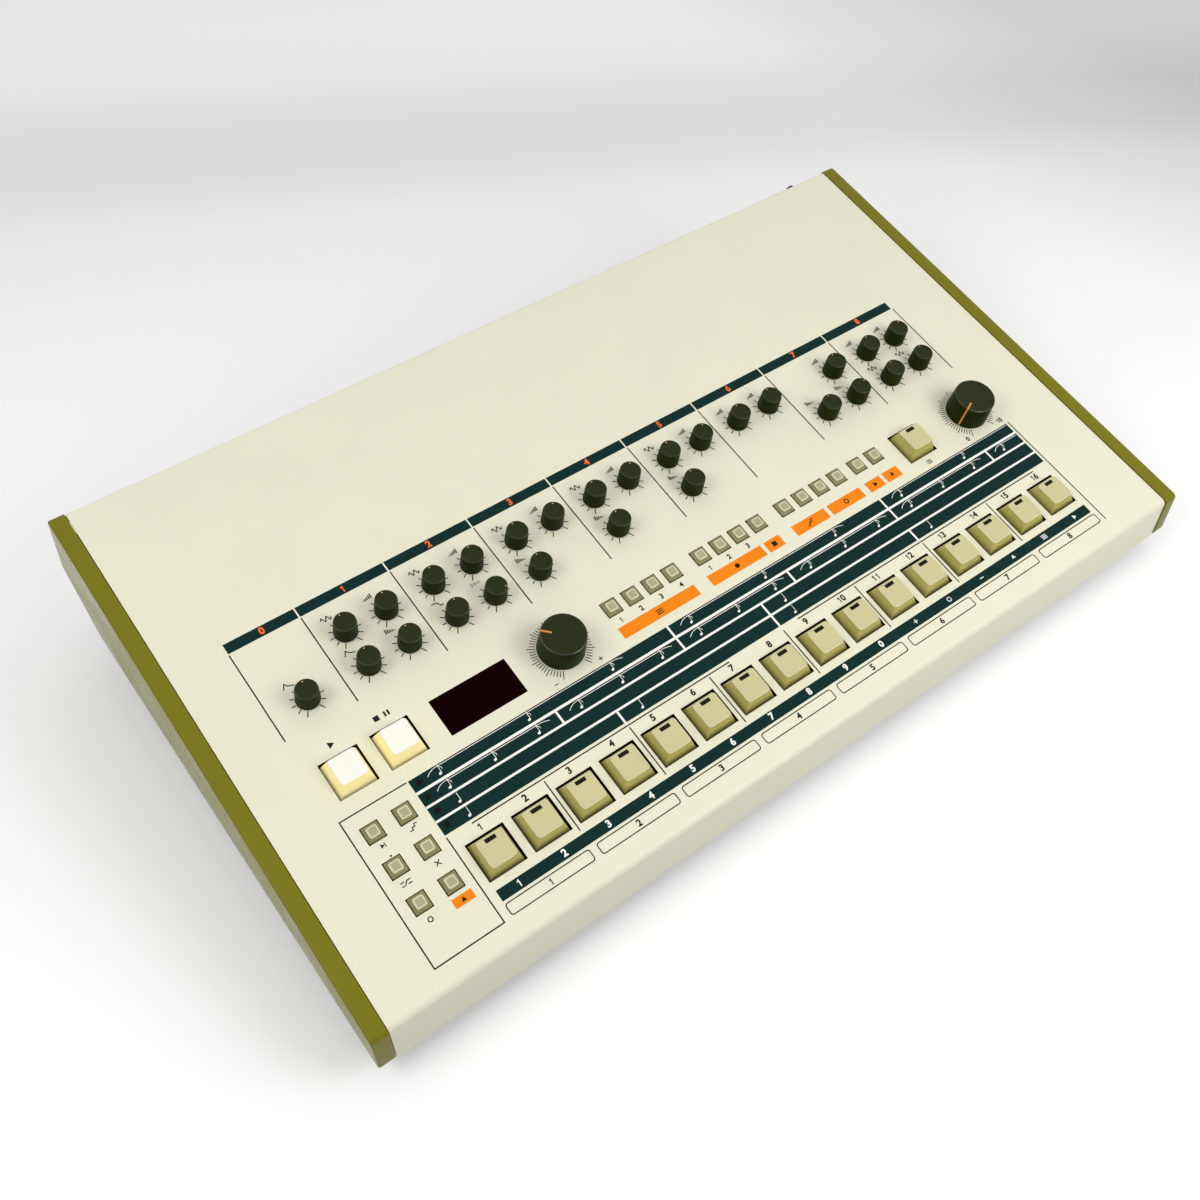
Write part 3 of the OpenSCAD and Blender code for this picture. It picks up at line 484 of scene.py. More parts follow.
def cheek(side):
    """The cheek on the left, side -1, or on the right, side 1."""
    inner, outer = side * PANEL_W / 2, side * (PANEL_W / 2 + CHEEK_T)
    piece = block(min(inner, outer), max(inner, outer), FRONT_Y - PROUD, RIDGE_Y + PROUD,
                  FOOT_H, REAR_Z + PROUD)
    for (y0, z0), (y1, z1) in zip(CHEEK_CORNERS, CHEEK_CORNERS[1:4]):
        open_whole(piece)
        bpy.ops.mesh.bisect(plane_co=(0, y0, z0), use_fill=True, clear_outer=True,
                            plane_no=Vector((0, z0 - z1, y1 - y0)).normalized())
        done()
    for width, corners in CORNER_BEVELS:
        places = [CHEEK_CORNERS[i] for i in corners]
        choose(piece, "EDGE", lambda a, b: any(
            math.hypot(a.y - y, a.z - z) < NEAR and math.hypot(b.y - y, b.z - z) < NEAR
            for y, z in places))
        bpy.ops.mesh.bevel(offset=width, segments=8, affect="EDGES")
        done()
    for face_side, width in ((side, OUTER_BEVEL), (-side, INNER_BEVEL)):
        choose(piece, "FACE", lambda middle, normal: normal.x * face_side > 0.9)
        bpy.ops.mesh.region_to_loop()
        bpy.ops.mesh.bevel(offset=width, segments=5, affect="EDGES")
        done()
    paint(piece, olive_abs)
    # The outer side is painted paler, a painted reflection of the floor
    paint(piece, olive_reflecting_flank, lambda middle, normal: normal.x * side > 0.9)
    smooth(piece, 30)
    return piece


for node, side in (("left_cheek", -1), ("right_cheek", 1)):
    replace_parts(seat(cheek(side), node + "_moulded", "case", CASE), node)


# ---- Keys ----
# The top's hollow, ring by ring: each ring's width as a share of the last, and its drop
KEY_HOLLOW = ((0.88, 0.05), (0.7, 0.09), (0.5, 0.04))


def keycap(height, windowed, body, top, edge):
    """A keycap: square skirt, sloped sides that start under the panel's face, and a slightly
    hollow top with rounded corners. The top's pale colour runs down the rear slope, painted light
    there, and the rim round the top is painted lighter as a highlight."""
    crown = rounded_plate(KEY_TOP_W, KEY_TOP_D, height, KEY_TOP_FRONT_R, KEY_TOP_REAR_R)
    foot = rounded_plate(KEY_W, KEY_D, -KEY_SUNK, KEY_FOOT_R, KEY_FOOT_R)
    cap = merge([crown, foot])
    open_whole(cap)
    bpy.ops.mesh.delete(type="ONLY_FACE")
    done()
    choose(cap, "EDGE", lambda a, b: True)
    bpy.ops.mesh.bridge_edge_loops()
    done()
    choose(cap, "EDGE", lambda a, b: a.z + b.z < HAIR - 2 * KEY_SUNK)
    raise_by(KEY_SUNK - KEY_SKIRT)
    done()
    choose(cap, "EDGE", lambda a, b: a.z + b.z > 2 * height - HAIR)
    bpy.ops.mesh.edge_face_add()
    bpy.ops.mesh.bevel(offset=KEY_RIM_R, segments=3, affect="EDGES")
    face_outwards()
    done()
    choose(cap, "FACE", lambda middle, normal: normal.z > 0.99 and middle.z > 0.8 * height)
    for share, depth in KEY_HOLLOW:
        raise_by(-depth, (share, share), 0)
    done()
    paint(cap, body)
    paint(cap, top, lambda middle, normal: middle.z > -KEY_SUNK
          and (normal.z > 0.9 or normal.y > 0.8))
    paint(cap, edge, lambda middle, normal: middle.z > height - KEY_HIGHLIGHT_DROP
          and 0.45 < normal.z < 0.97)
    smooth(cap, 25)
    if windowed:
        lens = rounded_plate(LENS_W, LENS_D, height - LENS_DOWN, LENS_R, LENS_R, 1)
        open_whole(lens)
        raise_by(LENS_T)
        face_outwards()
        bpy.ops.transform.translate(value=(0, LENS_Y, 0))
        done()
        paint(lens, lamp_green)
        cap = merge([cap, lens])
    return cap


def place_key(cap, node, x, y):
    """Puts a copy of a keycap in the place of its CAD node."""
    piece = another(cap)
    seat(piece, node + "_cap", node, PANEL @ Matrix.Translation((x, y, 0)))
    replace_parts(piece, node)


step_cap = keycap(STEP_H, True, beige_shaded_body, beige_top, beige_highlight_edge)
for i in range(16):
    place_key(step_cap, "step_key_%02d" % (i + 1), STEP_X + i * STEP_PITCH, STEP_Y)
white_cap = keycap(MAIN_KEY_H, False, white_glowing_body, white_top, white_top)
enter_cap = keycap(MAIN_KEY_H, True, beige_shaded_body, beige_top, beige_highlight_edge)
for node, x in MAIN_KEYS:
    place_key(enter_cap if node == "enter_key" else white_cap, node, x, MAIN_Y)
for pattern in (step_cap, white_cap, enter_cap):
    bpy.data.objects.remove(pattern)


# ---- Knobs ----
# The rounding over a knob's rim: how far in from the rim, and how far down from the top
RIM_ROUND = [(-0.03, 0.7), (0.02, 0.4), (0.14, 0.15), (0.34, 0.03), (0.55, 0.0), (0.75, 0.05),
             (0.95, 0.2), (1.15, 0.25)]
# Where the flank's painted shade ends under the top, and how wide the polished rim is
FLANK_END, RIM_W = 0.55, 0.6
# The foot's wall and chamfer, a pointer line's thickness and its rounding over the rim, and how
# far the line on a dial's flank keeps from the foot and the top
KNOB_WALL, KNOB_CHAMFER, POINTER_T, POINTER_R, FLANK_GAP = 1.2, 0.2, 0.8, 0.4, 0.3


def knob(diameter, height, pointer_in, pointer_w, down_side, rim_finish, pointer_finish):
    """A turned knob with a soft rim, a shallow hollow top and a painted pointer along +y."""
    foot = diameter / 2
    rim = foot - height * KNOB_TAPER
    cap = turned([(foot - KNOB_WALL, KNOB_GAP), (foot - KNOB_CHAMFER, KNOB_GAP),
                  (foot, KNOB_GAP + KNOB_CHAMFER)]
                 + [(rim - inwards, height - down) for inwards, down in RIM_ROUND]
                 + [(rim * 0.45, height - KNOB_HOLLOW), (rim * 0.1, height - KNOB_HOLLOW)])
    # The flank is painted darker as shade
    paint(cap, knob_shaded_flank)
    paint(cap, knob_abs, lambda middle, normal: middle.z > height - FLANK_END)
    paint(cap, rim_finish, lambda middle, normal: middle.z > height - FLANK_END
          and math.hypot(middle.x, middle.y) > rim - RIM_W)
    smooth(cap, 30)
    line = block(-pointer_w / 2, pointer_w / 2, pointer_in, rim + 2 * HAIR, height - POINTER_T,
                 height + POINTER_UP)
    choose(line, "VERT", lambda co: co.y < pointer_in + NEAR and co.z > height)
    bpy.ops.transform.translate(value=(0, 0, POINTER_UP - KNOB_HOLLOW))
    done()
    choose(line, "EDGE", lambda a, b: min(a.y, b.y) > rim and min(a.z, b.z) > height)
    bpy.ops.mesh.bevel(offset=POINTER_R, segments=4, affect="EDGES")
    done()
    parts = [cap, line]
    if down_side:
        flank_foot = KNOB_GAP + FLANK_GAP
        flank = block(-pointer_w / 2, pointer_w / 2, rim - POINTER_T, rim + HAIR, flank_foot,
                      height - FLANK_GAP)
        choose(flank, "VERT", lambda co: co.z < flank_foot + NEAR)
        bpy.ops.transform.translate(value=(0, foot - rim, 0))
        done()
        parts.append(flank)
    for part in parts[1:]:
        paint(part, pointer_finish)
    return merge(parts)


small_knob = knob(KNOB_D, KNOB_H, KNOB_D / 2 - KNOB_H * KNOB_TAPER - SMALL_POINTER_L,
                  SMALL_POINTER_W, False, small_knob_rim, pale_pointer_paint)
dial = knob(DIAL_D, DIAL_H, DIAL_POINTER_IN, DIAL_POINTER_W, True, knob_rim, pointer_paint)
for pattern, entries in ((small_knob, small_knobs), (dial, DIALS)):
    for node, x, y, turn in entries:
        piece = another(pattern)
        seat(piece, node + "_turned", node, PANEL @ Matrix.Translation((x, y, 0))
             @ Matrix.Rotation(math.radians(turn), 4, "Z"))
        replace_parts(piece, node)
    bpy.data.objects.remove(pattern)

# ---- Small buttons: a sloped surround and a raised pad with a soft border ----
BUTTON_W, BUTTON_TOP, PAD_W = 7.6, 5.9, 5.1
BUTTON_R, PAD_R = 0.3, 0.9
# The rounding over the pad's border, the border's width and how far the pad lies under it
PAD_ROUND, PAD_BORDER, PAD_DOWN = 0.42, 0.35, 0.12
# Levels over the panel: the surround's foot, where it starts to slope in, its top, the pad's foot
# in the surround, and the pad's top
BUTTON_FOOT, SLOPE_FOOT, SURROUND_H, PAD_FOOT, BUTTON_H = -3.2, 0.4, 1.2, 1.0, 1.9
BUTTON_SHARE = BUTTON_TOP / BUTTON_W
surround = rounded_plate(BUTTON_W, BUTTON_W, BUTTON_FOOT, BUTTON_R, BUTTON_R, 2)
open_whole(surround)
raise_by(SLOPE_FOOT - BUTTON_FOOT)
raise_by(SURROUND_H - SLOPE_FOOT, (BUTTON_SHARE, BUTTON_SHARE), SURROUND_H)
face_outwards()
done()
paint(surround, rim_abs)
smooth(surround, 25)
pad = rounded_plate(PAD_W, PAD_W, PAD_FOOT, PAD_R, PAD_R)
open_whole(pad)
raise_by(BUTTON_H - PAD_FOOT)
face_outwards()
done()
choose(pad, "FACE", lambda middle, normal: normal.z > 0.99)
bpy.ops.mesh.region_to_loop()
bpy.ops.mesh.bevel(offset=PAD_ROUND, segments=4, affect="EDGES")
done()
choose(pad, "FACE", lambda middle, normal: normal.z > 0.99)
bpy.ops.mesh.inset(thickness=PAD_BORDER, depth=-PAD_DOWN)
done()
# The pad's border is painted pale as a highlight
paint(pad, pad_highlight_abs)
paint(pad, pad_abs, lambda middle, normal: normal.z > 0.99 and middle.z < BUTTON_H - NEAR)
smooth(pad, 35)
button = merge([surround, pad])
buttons = repeat(button, FUNCTION_BUTTONS + MODE_BUTTONS)
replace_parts(seat(buttons, "button_pads", "small_buttons"), "small_buttons")

# ---- Status lamps, just proud of the printed bars ----
LAMP_PROFILE = [(1.45, -0.4), (1.5, 0.06), (1.42, 0.2), (1.15, 0.32), (0.7, 0.4), (0.2, 0.43)]
lamp_lens = turned(LAMP_PROFILE, 32)
paint(lamp_lens, lamp_dark)
smooth(lamp_lens, 50)
seat(repeat(lamp_lens, [(LAMP_X, LAMP_FIRST_Y + i * LAMP_PITCH) for i in range(4)]),
     "status_lamps", "case")

# ---- Rear fittings: plated nuts on black bodies ----
fittings = smoothed_copy("rear_fittings", "rear_sockets", angle=30)
JACKS_END = -17.0


def on_nut(middle, normal):
    """Whether a face lies on a quarter-inch socket outside the panel and round its bore."""
    y, z = middle.y / MM - REAR_Y, middle.z / MM - REAR_Z
    out = y * math.cos(LEAN) + z * math.sin(LEAN)
    down = y * math.sin(LEAN) - z * math.cos(LEAN)
    x = (middle.x / MM + JACK_X) % JACK_PITCH
    from_axis = math.hypot(min(x, JACK_PITCH - x), down - JACK_DOWN)
    outside = out > -SHEET_T - 2 * HAIR
    return middle.x / MM < JACKS_END and outside and from_axis > JACK_R - NEAR


paint(fittings, plated, on_nut)


# ---- Printing on the panel ----
# Levels of the ink on the panel and of ink printed over other ink
INK_Z, OVER_INK_Z = 0.05, 0.1


def begin_print():
    """Starts an empty layer of ink, in edit mode."""
    bpy.ops.object.select_all(action="DESELECT")
    bpy.ops.mesh.primitive_plane_add(size=1)
    layer = bpy.context.object
    bpy.ops.object.mode_set(mode="EDIT")
    bpy.ops.mesh.delete(type="VERT")
    return layer


def end_print(layer, ink):
    """Closes a layer of ink and colours it."""
    done()
    layer.data.materials.append(ink)
    return layer


def lay(x, y, w, d, z, turn=0.0):
    """Sizes, turns and places the shape that was just added; it turns the way that turn says."""
    bpy.ops.transform.resize(value=(w, d, 1), center_override=(0, 0, 0))
    if turn:
        bpy.ops.transform.rotate(value=-turn, orient_axis="Z", center_override=(0, 0, 0))
    bpy.ops.transform.translate(value=(x, y, z))


def strip(x0, y0, x1, y1, width, z=INK_Z):
    """A straight printed line from one point to another."""
    bpy.ops.mesh.primitive_plane_add(size=1)
    lay((x0 + x1) / 2, (y0 + y1) / 2, math.hypot(x1 - x0, y1 - y0), width, z,
        math.atan2(y1 - y0, x1 - x0))


def bar(x0, x1, y0, y1, z=INK_Z):
    """A printed rectangle."""
    bpy.ops.mesh.primitive_plane_add(size=1)
    lay((x0 + x1) / 2, (y0 + y1) / 2, x1 - x0, y1 - y0, z)


def stroke(points, width, z=INK_Z):
    """A printed line through several points, its stretches lapping a little."""
    for (x0, y0), (x1, y1) in zip(points, points[1:]):
        run = math.hypot(x1 - x0, y1 - y0)
        lap = 0.3 * width / run
        strip(x0 - (x1 - x0) * lap, y0 - (y1 - y0) * lap, x1 + (x1 - x0) * lap,
              y1 + (y1 - y0) * lap, width, z)


def dot(x, y, radius, z=INK_Z, flat=1.0, turn=0.0, corners=16):
    """A printed disc, or an oval where flat is under 1; few corners make a triangle."""
    bpy.ops.mesh.primitive_circle_add(vertices=corners, radius=1, fill_type="NGON")
    lay(x, y, radius, radius * flat, z, turn)


def arc(x, y, radius, start, end, steps=6):
    """Points along an arc, its angles in degrees."""
    angles = [math.radians(start + (end - start) * i / steps) for i in range(steps + 1)]
    return [(x + radius * math.cos(a), y + radius * math.sin(a)) for a in angles]


def rounded_frame(x0, x1, y0, y1, r):
    """Points round a rectangle with rounded corners."""
    return (arc(x0 + r, y0 + r, r, 180, 270) + arc(x1 - r, y0 + r, r, 270, 360)
            + arc(x1 - r, y1 - r, r, 0, 90) + arc(x0 + r, y1 - r, r, 90, 180)
            + [(x0, y0 + r)])


# Shares of a number's height: a digit's pitch, and the font's own digits to its size
DIGIT_PITCH, FONT_SHARE = 0.77, 0.7


def numerals(marks, height, z=INK_Z, weight=0.055):
    """Plain numbers as flat meshes: marks are (text, x, y) at each number's middle. The font's
    own 1 is a bare stroke, so each 1 is printed with its flag."""
    digits = [(digit, x + (i - (len(text) - 1) / 2) * DIGIT_PITCH * height, y)
              for text, x, y in marks for i, digit in enumerate(text)]
    ones = begin_print()
    for digit, x, y in digits:
        if digit == "1":
            stem = x + 0.1 * height
            strip(stem, y - 0.5 * height, stem, y + 0.5 * height, 0.17 * height, z)
            strip(x - 0.2 * height, y + 0.2 * height, stem, y + 0.42 * height, 0.14 * height, z)
    done()
    pieces = [ones]
    for digit, x, y in digits:
        if digit == "1":
            continue
        bpy.ops.object.select_all(action="DESELECT")
        bpy.ops.object.text_add(location=(0, 0, 0))
        figure = bpy.context.object.data
        figure.body = digit
        figure.size = height / FONT_SHARE
        figure.offset = weight * height
        figure.align_x = figure.align_y = "CENTER"
        figure.resolution_u = 4
        bpy.ops.object.convert(target="MESH")
        piece = bpy.context.object
        piece.location = (x, y, z)
        apply_place()
        pieces.append(piece)
    return merge(pieces)


def place_numbers(numbers, ink, name, place=PANEL):
    """Colours numbers and seats them on the case."""
    numbers.data.materials.append(ink)
    seat(numbers, name, "case", place)


def sign(kind, x, y, size, z=INK_Z):
    """A small plain sign at a control, about as wide as twice its size, its middle at x, y."""
    w, h, line = size, size * 0.5, size * 0.2
    if kind == "wave":
        stroke([(x + w * (i / 6 - 1), y + h * math.sin(i * math.pi / 3)) for i in range(13)], line, z)
    elif kind in ("rise", "fall"):
        for i in range(5):
            tall = h * 2 * (i + 1) / 5 if kind == "rise" else h * 2 * (5 - i) / 5
            left = x - w + i * w * 0.4
            bar(left, left + w * 0.26, y - h, y - h + tall, z)
    elif kind == "peak":
        stroke([(x - w, y - h), (x - w * 0.45, y + h), (x - w * 0.1, y - h * 0.2), (x + w, y - h)],
               line, z)
    elif kind == "tone":
        stroke([(x - w, y + h * 0.7), (x, y + h * 0.7), (x + w * 0.5, y - h), (x + w, y - h)], line, z)
    elif kind == "burst":
        for i in range(6):
            left = x - w + i * w * 0.36
            tall = h * (2.0, 0.9, 1.6, 0.7, 1.3, 0.5)[i]
            bar(left, left + w * 0.12, y - tall / 2, y + tall / 2, z)
    elif kind == "play":
        dot(x, y, h * 1.25, z, corners=3, turn=-math.pi / 2)
    elif kind == "up":
        dot(x, y, h * 1.15, z, corners=3)
    elif kind == "stop":
        bar(x - h, x + h, y - h, y + h, z)
    elif kind == "pause":
        bar(x - h, x - h * 0.3, y - h, y + h, z)
        bar(x + h * 0.3, x + h, y - h, y + h, z)
    elif kind == "ring":
        stroke(arc(x, y, h * 0.9, 0, 360, 14), line, z)
    elif kind == "round":
        dot(x, y, h, z)
    elif kind in ("plus", "minus"):
        bar(x - h, x + h, y - line / 2, y + line / 2, z)
        if kind == "plus":
            bar(x - line / 2, x + line / 2, y - h, y + h, z)
    elif kind == "cross":
        strip(x - h, y - h, x + h, y + h, line, z)
        strip(x - h, y + h, x + h, y - h, line, z)
    elif kind == "lines":
        for i in (-1, 0, 1):
            bar(x - w * 0.7, x + w * 0.7, y + i * h * 0.8 - line / 2, y + i * h * 0.8 + line / 2, z)
    elif kind == "steps":
        stroke([(x - w, y - h), (x - w * 0.4, y - h), (x - w * 0.4, y), (x + w * 0.2, y),
                (x + w * 0.2, y + h), (x + w * 0.8, y + h)], line, z)
    elif kind == "last":
        dot(x - h * 0.5, y, h, z, corners=3, turn=-math.pi / 2)
        bar(x + h * 0.5, x + h * 0.85, y - h, y + h, z)
    elif kind == "swap":
        stroke([(x - w, y - h * 0.7), (x - w * 0.3, y - h * 0.7), (x + w * 0.3, y + h * 0.7),
                (x + w, y + h * 0.7)], line, z)
        stroke([(x - w, y + h * 0.7), (x - w * 0.3, y + h * 0.7)], line, z)
        stroke([(x + w * 0.3, y - h * 0.7), (x + w, y - h * 0.7)], line, z)


# Teal bars: section headers, the four note rows and the lower row of numbers
BAR_ROWS = [(76.1, 82.3), (68.6, 74.8), (61.1, 67.5), (53.7, 60.0)]
BAR_X0, BAR_X1 = 60.2, 430.9
HEADER_Y, HEADER_GAP = (175.0, 180.3), 0.8
LOWER_BAR = (64.5, 428.9, 17.4, 22.7)
teal = begin_print()
for x0, x1 in zip(SECTION_EDGES, SECTION_EDGES[1:]):
    bar(x0, x1 - HEADER_GAP, *HEADER_Y)
bar(BAR_X0, BAR_X1, BAR_ROWS[3][0], BAR_ROWS[0][1])
bar(*LOWER_BAR)
seat(end_print(teal, teal_ink), "printed_bars_teal", "case")

# Orange bars under the mode buttons and beside the shift button
ORANGE_Y = (87.4, 93.6)
ORANGE_BARS = [(179.6, 224.6), (232.7, 266.4), (268.5, 278.3), (286.6, 308.2), (310.5, 332.6),
               (336.6, 346.7), (348.7, 358.8)]
SHIFT_BAR = (47.4, 56.8, 25.1, 29.4)
orange = begin_print()
for x0, x1 in ORANGE_BARS:
    bar(x0, x1, *ORANGE_Y)
bar(*SHIFT_BAR)
seat(end_print(orange, orange_ink), "printed_bars_orange", "case")

# White lines between the rows, their separators, brackets and notes
THIN, SPLIT_W = 0.28, 1.1
ROW_SPLITS = [(199.8, 337.1), (131.4, 199.8, 268.2, 337.1, 407.6), (245.6,), (154.3, 245.6, 337.4)]
NOTE_X, NOTE_STEP, NOTE_UP = 73.7, 22.92, 1.9
# A note's head, its stem's side, height and width
HEAD_R, STEM_X, STEM_H, STEM_W = 0.8, 0.66, 4.1, 0.26
# Which of the sixteen steps have a note in each row, and how many notes a bracket joins
NOTE_ROWS = [(range(0, 16, 2), 3), (range(16), 3), (range(0, 16, 8), 0), (range(0, 16, 4), 0)]


def note(x, y, tailed):
    """A note on its row: an oval head, a stem and, on a short note, a tail."""
    dot(x, y, HEAD_R, OVER_INK_Z, 0.74, 0.45)
    strip(x + STEM_X, y + 0.1, x + STEM_X, y + STEM_H, STEM_W, OVER_INK_Z)
    if tailed:
        stroke([(x + STEM_X, y + STEM_H), (x + 1.1, y + 3.0), (x + 1.8, y + 2.3),
                (x + 1.75, y + 1.5)], STEM_W, OVER_INK_Z)


def bracket(x0, x1, top, open_end):
    """A thin line over a group of notes, curved down at its ends."""
    y = top - 0.75
    points = [(x0 - 5.4, y - 2.1), (x0 - 4.0, y - 1.0), (x0 - 2.2, y - 0.25), (x0 - 0.6, y)]
    if open_end:
        points += [(BAR_X1 - 1, y)]
    else:
        points += [(x1 + 3.0, y), (x1 + 5.0, y - 0.3), (x1 + 7.2, y - 1.0)]
    stroke(points, THIN, OVER_INK_Z)


white = begin_print()
for (_, upper_y), (lower_y, _) in zip(BAR_ROWS[1:], BAR_ROWS):
    bar(BAR_X0, BAR_X1, upper_y, lower_y, OVER_INK_Z)
for (y0, y1), splits in zip(BAR_ROWS, ROW_SPLITS):
    for x in splits:
        bar(x - SPLIT_W / 2, x + SPLIT_W / 2, y0 - 0.1, y1 + 0.1, OVER_INK_Z)
for (y0, y1), (steps, joined) in zip(BAR_ROWS, NOTE_ROWS):
    xs = [NOTE_X + NOTE_STEP * i for i in steps]
    for x in xs:
        note(x, y0 + NOTE_UP, joined > 0)
    for group in range(0, len(xs), joined or len(xs)):
        if joined:
            members = xs[group:group + joined]
            bracket(members[0], members[-1], y1, len(members) < joined)
# Under the step keys come the numbers 1 to 9 and 0, then six signs
LOWER_SIGNS = ("plus", "ring", "minus", "up", "lines", "play")
MARK_X, LOWER_MARK_Y = STEP_X + 0.4, 20.1
for i, kind in enumerate(LOWER_SIGNS, 10):
    sign(kind, MARK_X + STEP_PITCH * i, LOWER_MARK_Y, 2.4, OVER_INK_Z)
seat(end_print(white, white_ink), "printed_notes_white", "case")

# Dark lines: section lines, boxes, brackets over the keys and pair separators
LINE_W = 0.6
dark = begin_print()
SECTION_LINE_Y = (125.6, 174.3)
for x in SECTION_EDGES:
    strip(x, SECTION_LINE_Y[0], x, SECTION_LINE_Y[1], LINE_W)
# The box round the function buttons is open where it meets the rows of notes
BOX_X0, BOX_X1, BOX_Y0, BOX_Y1 = 27.3, 60.3, 10.0, 82.2
BOX_TOP_END, BOX_SIDE_END = 59.2, 52.5
stroke([(BOX_TOP_END, BOX_Y1), (BOX_X0, BOX_Y1), (BOX_X0, BOX_Y0), (BOX_X1, BOX_Y0),
        (BOX_X1, BOX_SIDE_END)], LINE_W)
RIGHT_LINE_X, RIGHT_LINE_Y = 432.7, (10.1, 82.6)
strip(RIGHT_LINE_X, RIGHT_LINE_Y[0], RIGHT_LINE_X, RIGHT_LINE_Y[1], LINE_W)
KEY_BRACKETS, KEY_BRACKET_Y = [(72.4, 213.1), (255.4, 420.9)], 52.1
for x0, x1 in KEY_BRACKETS:
    strip(x0, KEY_BRACKET_Y, x1, KEY_BRACKET_Y, LINE_W)
PAIR_LINES, PAIR_LINE_Y = (108.4, 154.5, 200.3, 245.6, 291.3, 338.1, 383.9), (24.4, 51.0)
for x in PAIR_LINES:
    strip(x, PAIR_LINE_Y[0], x, PAIR_LINE_Y[1], LINE_W)
PAIR_BOXES = [(64.5, 106.5), (110.5, 152.2), (156.3, 198.0), (202.0, 243.8), (247.8, 290.1),
              (294.1, 336.4), (340.2, 382.7), (386.7, 429.2)]
PAIR_Y, PAIR_R, PAIR_LINE_W = (10.6, 15.9), 1.2, 0.5
for x0, x1 in PAIR_BOXES:
    stroke(rounded_frame(x0, x1, *PAIR_Y, PAIR_R), PAIR_LINE_W)
FUNCTION_DOT = (37.4, 58.6)
dot(*FUNCTION_DOT, 0.45)

# Signs at the knobs: one kind for each use, up and left of its knob
KNOB_SIGNS = {"tune": "wave", "level": "rise", "decay": "fall", "attack": "peak", "tone": "tone",
              "snap": "burst"}
KNOB_SIGN_LEFT, KNOB_SIGN_UP, KNOB_SIGN_SIZE = 4.0, 10.4, 2.5
for node, x, y, _ in small_knobs:
    kind = KNOB_SIGNS.get(node.split("_")[-2], "peak")
    sign(kind, x - KNOB_SIGN_LEFT, y + KNOB_SIGN_UP, KNOB_SIGN_SIZE)
# Signs at the main keys, the tempo dial and the function buttons: kind, place and size
PANEL_SIGNS = [
    ("play", 41.9, 114.3, 3.0), ("stop", 64.3, 114.3, 2.6), ("pause", 69.4, 114.3, 2.6),
    ("minus", 139.5, 85.5, 2.2), ("plus", 164.0, 85.5, 2.2), ("last", 37.2, 64.1, 2.3),
    ("steps", 51.8, 64.1, 2.3), ("swap", 36.6, 45.6, 2.3), ("cross", 51.6, 45.6, 2.3),
    ("ring", 36.6, 27.6, 2.3), ("lines", 376.6, 86.0, 2.3),
]
for kind, x, y, size in PANEL_SIGNS:
    sign(kind, x, y, size)
ORANGE_SIGNS = ("lines", "round", "stop", "steps", "ring", "play", "up")
for (x0, x1), kind in zip(ORANGE_BARS, ORANGE_SIGNS):
    sign(kind, (x0 + x1) / 2, sum(ORANGE_Y) / 2, 2.6, OVER_INK_Z)
SHIFT_SIGN = (52.1, 27.0)
sign("up", *SHIFT_SIGN, 2.4, OVER_INK_Z)
lines = end_print(dark, dark_ink)


def scale(step_count, sweep, reach, width):
    """A ring of scale marks about the origin, its gap towards -y."""
    ring = begin_print()
    for step in range(step_count):
        a = math.radians(90 - sweep / 2 + sweep * step / (step_count - 1))
        near, far = reach(step)
        strip(near * math.cos(a), near * math.sin(a), far * math.cos(a), far * math.sin(a), width)
    return end_print(ring, dark_ink)


# Inner and outer radius of a mark: a small scale's ends and the rest, then a dial's marks, where
# every fifth is longer
SMALL_END_MARK, SMALL_MARK, SMALL_MARK_W = (5.6, 8.6), (5.7, 7.8), 0.47
DIAL_LONG_MARK, DIAL_MARK, DIAL_MARK_W = (11.6, 15.7), (11.6, 14.6), 0.4
small_scale = scale(11, KNOB_SWEEP, lambda step: SMALL_END_MARK if step in (0, 10) else SMALL_MARK,
                    SMALL_MARK_W)
small_scales = repeat(small_scale, [(x, y) for _, x, y, _ in small_knobs])
dial_scale = scale(51, KNOB_SWEEP, lambda step: DIAL_LONG_MARK if step % 5 == 0 else DIAL_MARK,
                   DIAL_MARK_W)
dial_scales = repeat(dial_scale, [(x, y) for _, x, y, _ in DIALS])
seat(merge([lines, small_scales, dial_scales]), "printed_lines_dark", "case")

# Numbers over the step keys, at the buttons, at the ends of the volume scale and in the boxes
STEP_NUMBER_Y, BUTTON_NUMBER_Y, PAIR_NUMBER_Y, SECTION_NUMBER_Y = 49.0, 96.5, 13.2, 177.6
VOLUME_ENDS = [("0", 405.2, 85.7), ("10", 429.2, 85.7)]
STEP_NUMBER_H, SMALL_NUMBER_H, PAIR_NUMBER_H, SECTION_NUMBER_H = 3.2, 2.6, 3.0, 3.4
middles = [(a + b) / 2 for a, b in zip(SECTION_EDGES, SECTION_EDGES[1:])]
key_numbers = numerals([(str(i + 1), MARK_X + STEP_PITCH * i, STEP_NUMBER_Y) for i in range(16)],
                       STEP_NUMBER_H)
button_marks = [(str(i % 4 + 1), x, BUTTON_NUMBER_Y) for i, (x, _) in enumerate(MODE_BUTTONS[:7])]
small_numbers = numerals(button_marks + VOLUME_ENDS, SMALL_NUMBER_H)
pair_marks = [(str(i + 1), (x0 + x1) / 2, PAIR_NUMBER_Y) for i, (x0, x1) in enumerate(PAIR_BOXES)]
pair_numbers = numerals(pair_marks, PAIR_NUMBER_H)
place_numbers(merge([key_numbers, small_numbers, pair_numbers]), dark_ink, "printed_numbers_dark")
white_numbers = numerals([(str((i + 1) % 10), MARK_X + STEP_PITCH * i, LOWER_MARK_Y)
                          for i in range(10)], STEP_NUMBER_H, OVER_INK_Z)
place_numbers(white_numbers, white_ink, "printed_numbers_white")
section_numbers = numerals([(str(i), x, SECTION_NUMBER_Y) for i, x in enumerate(middles)],
                           SECTION_NUMBER_H, OVER_INK_Z, 0.06)
place_numbers(section_numbers, coral_ink, "printed_numbers_coral")

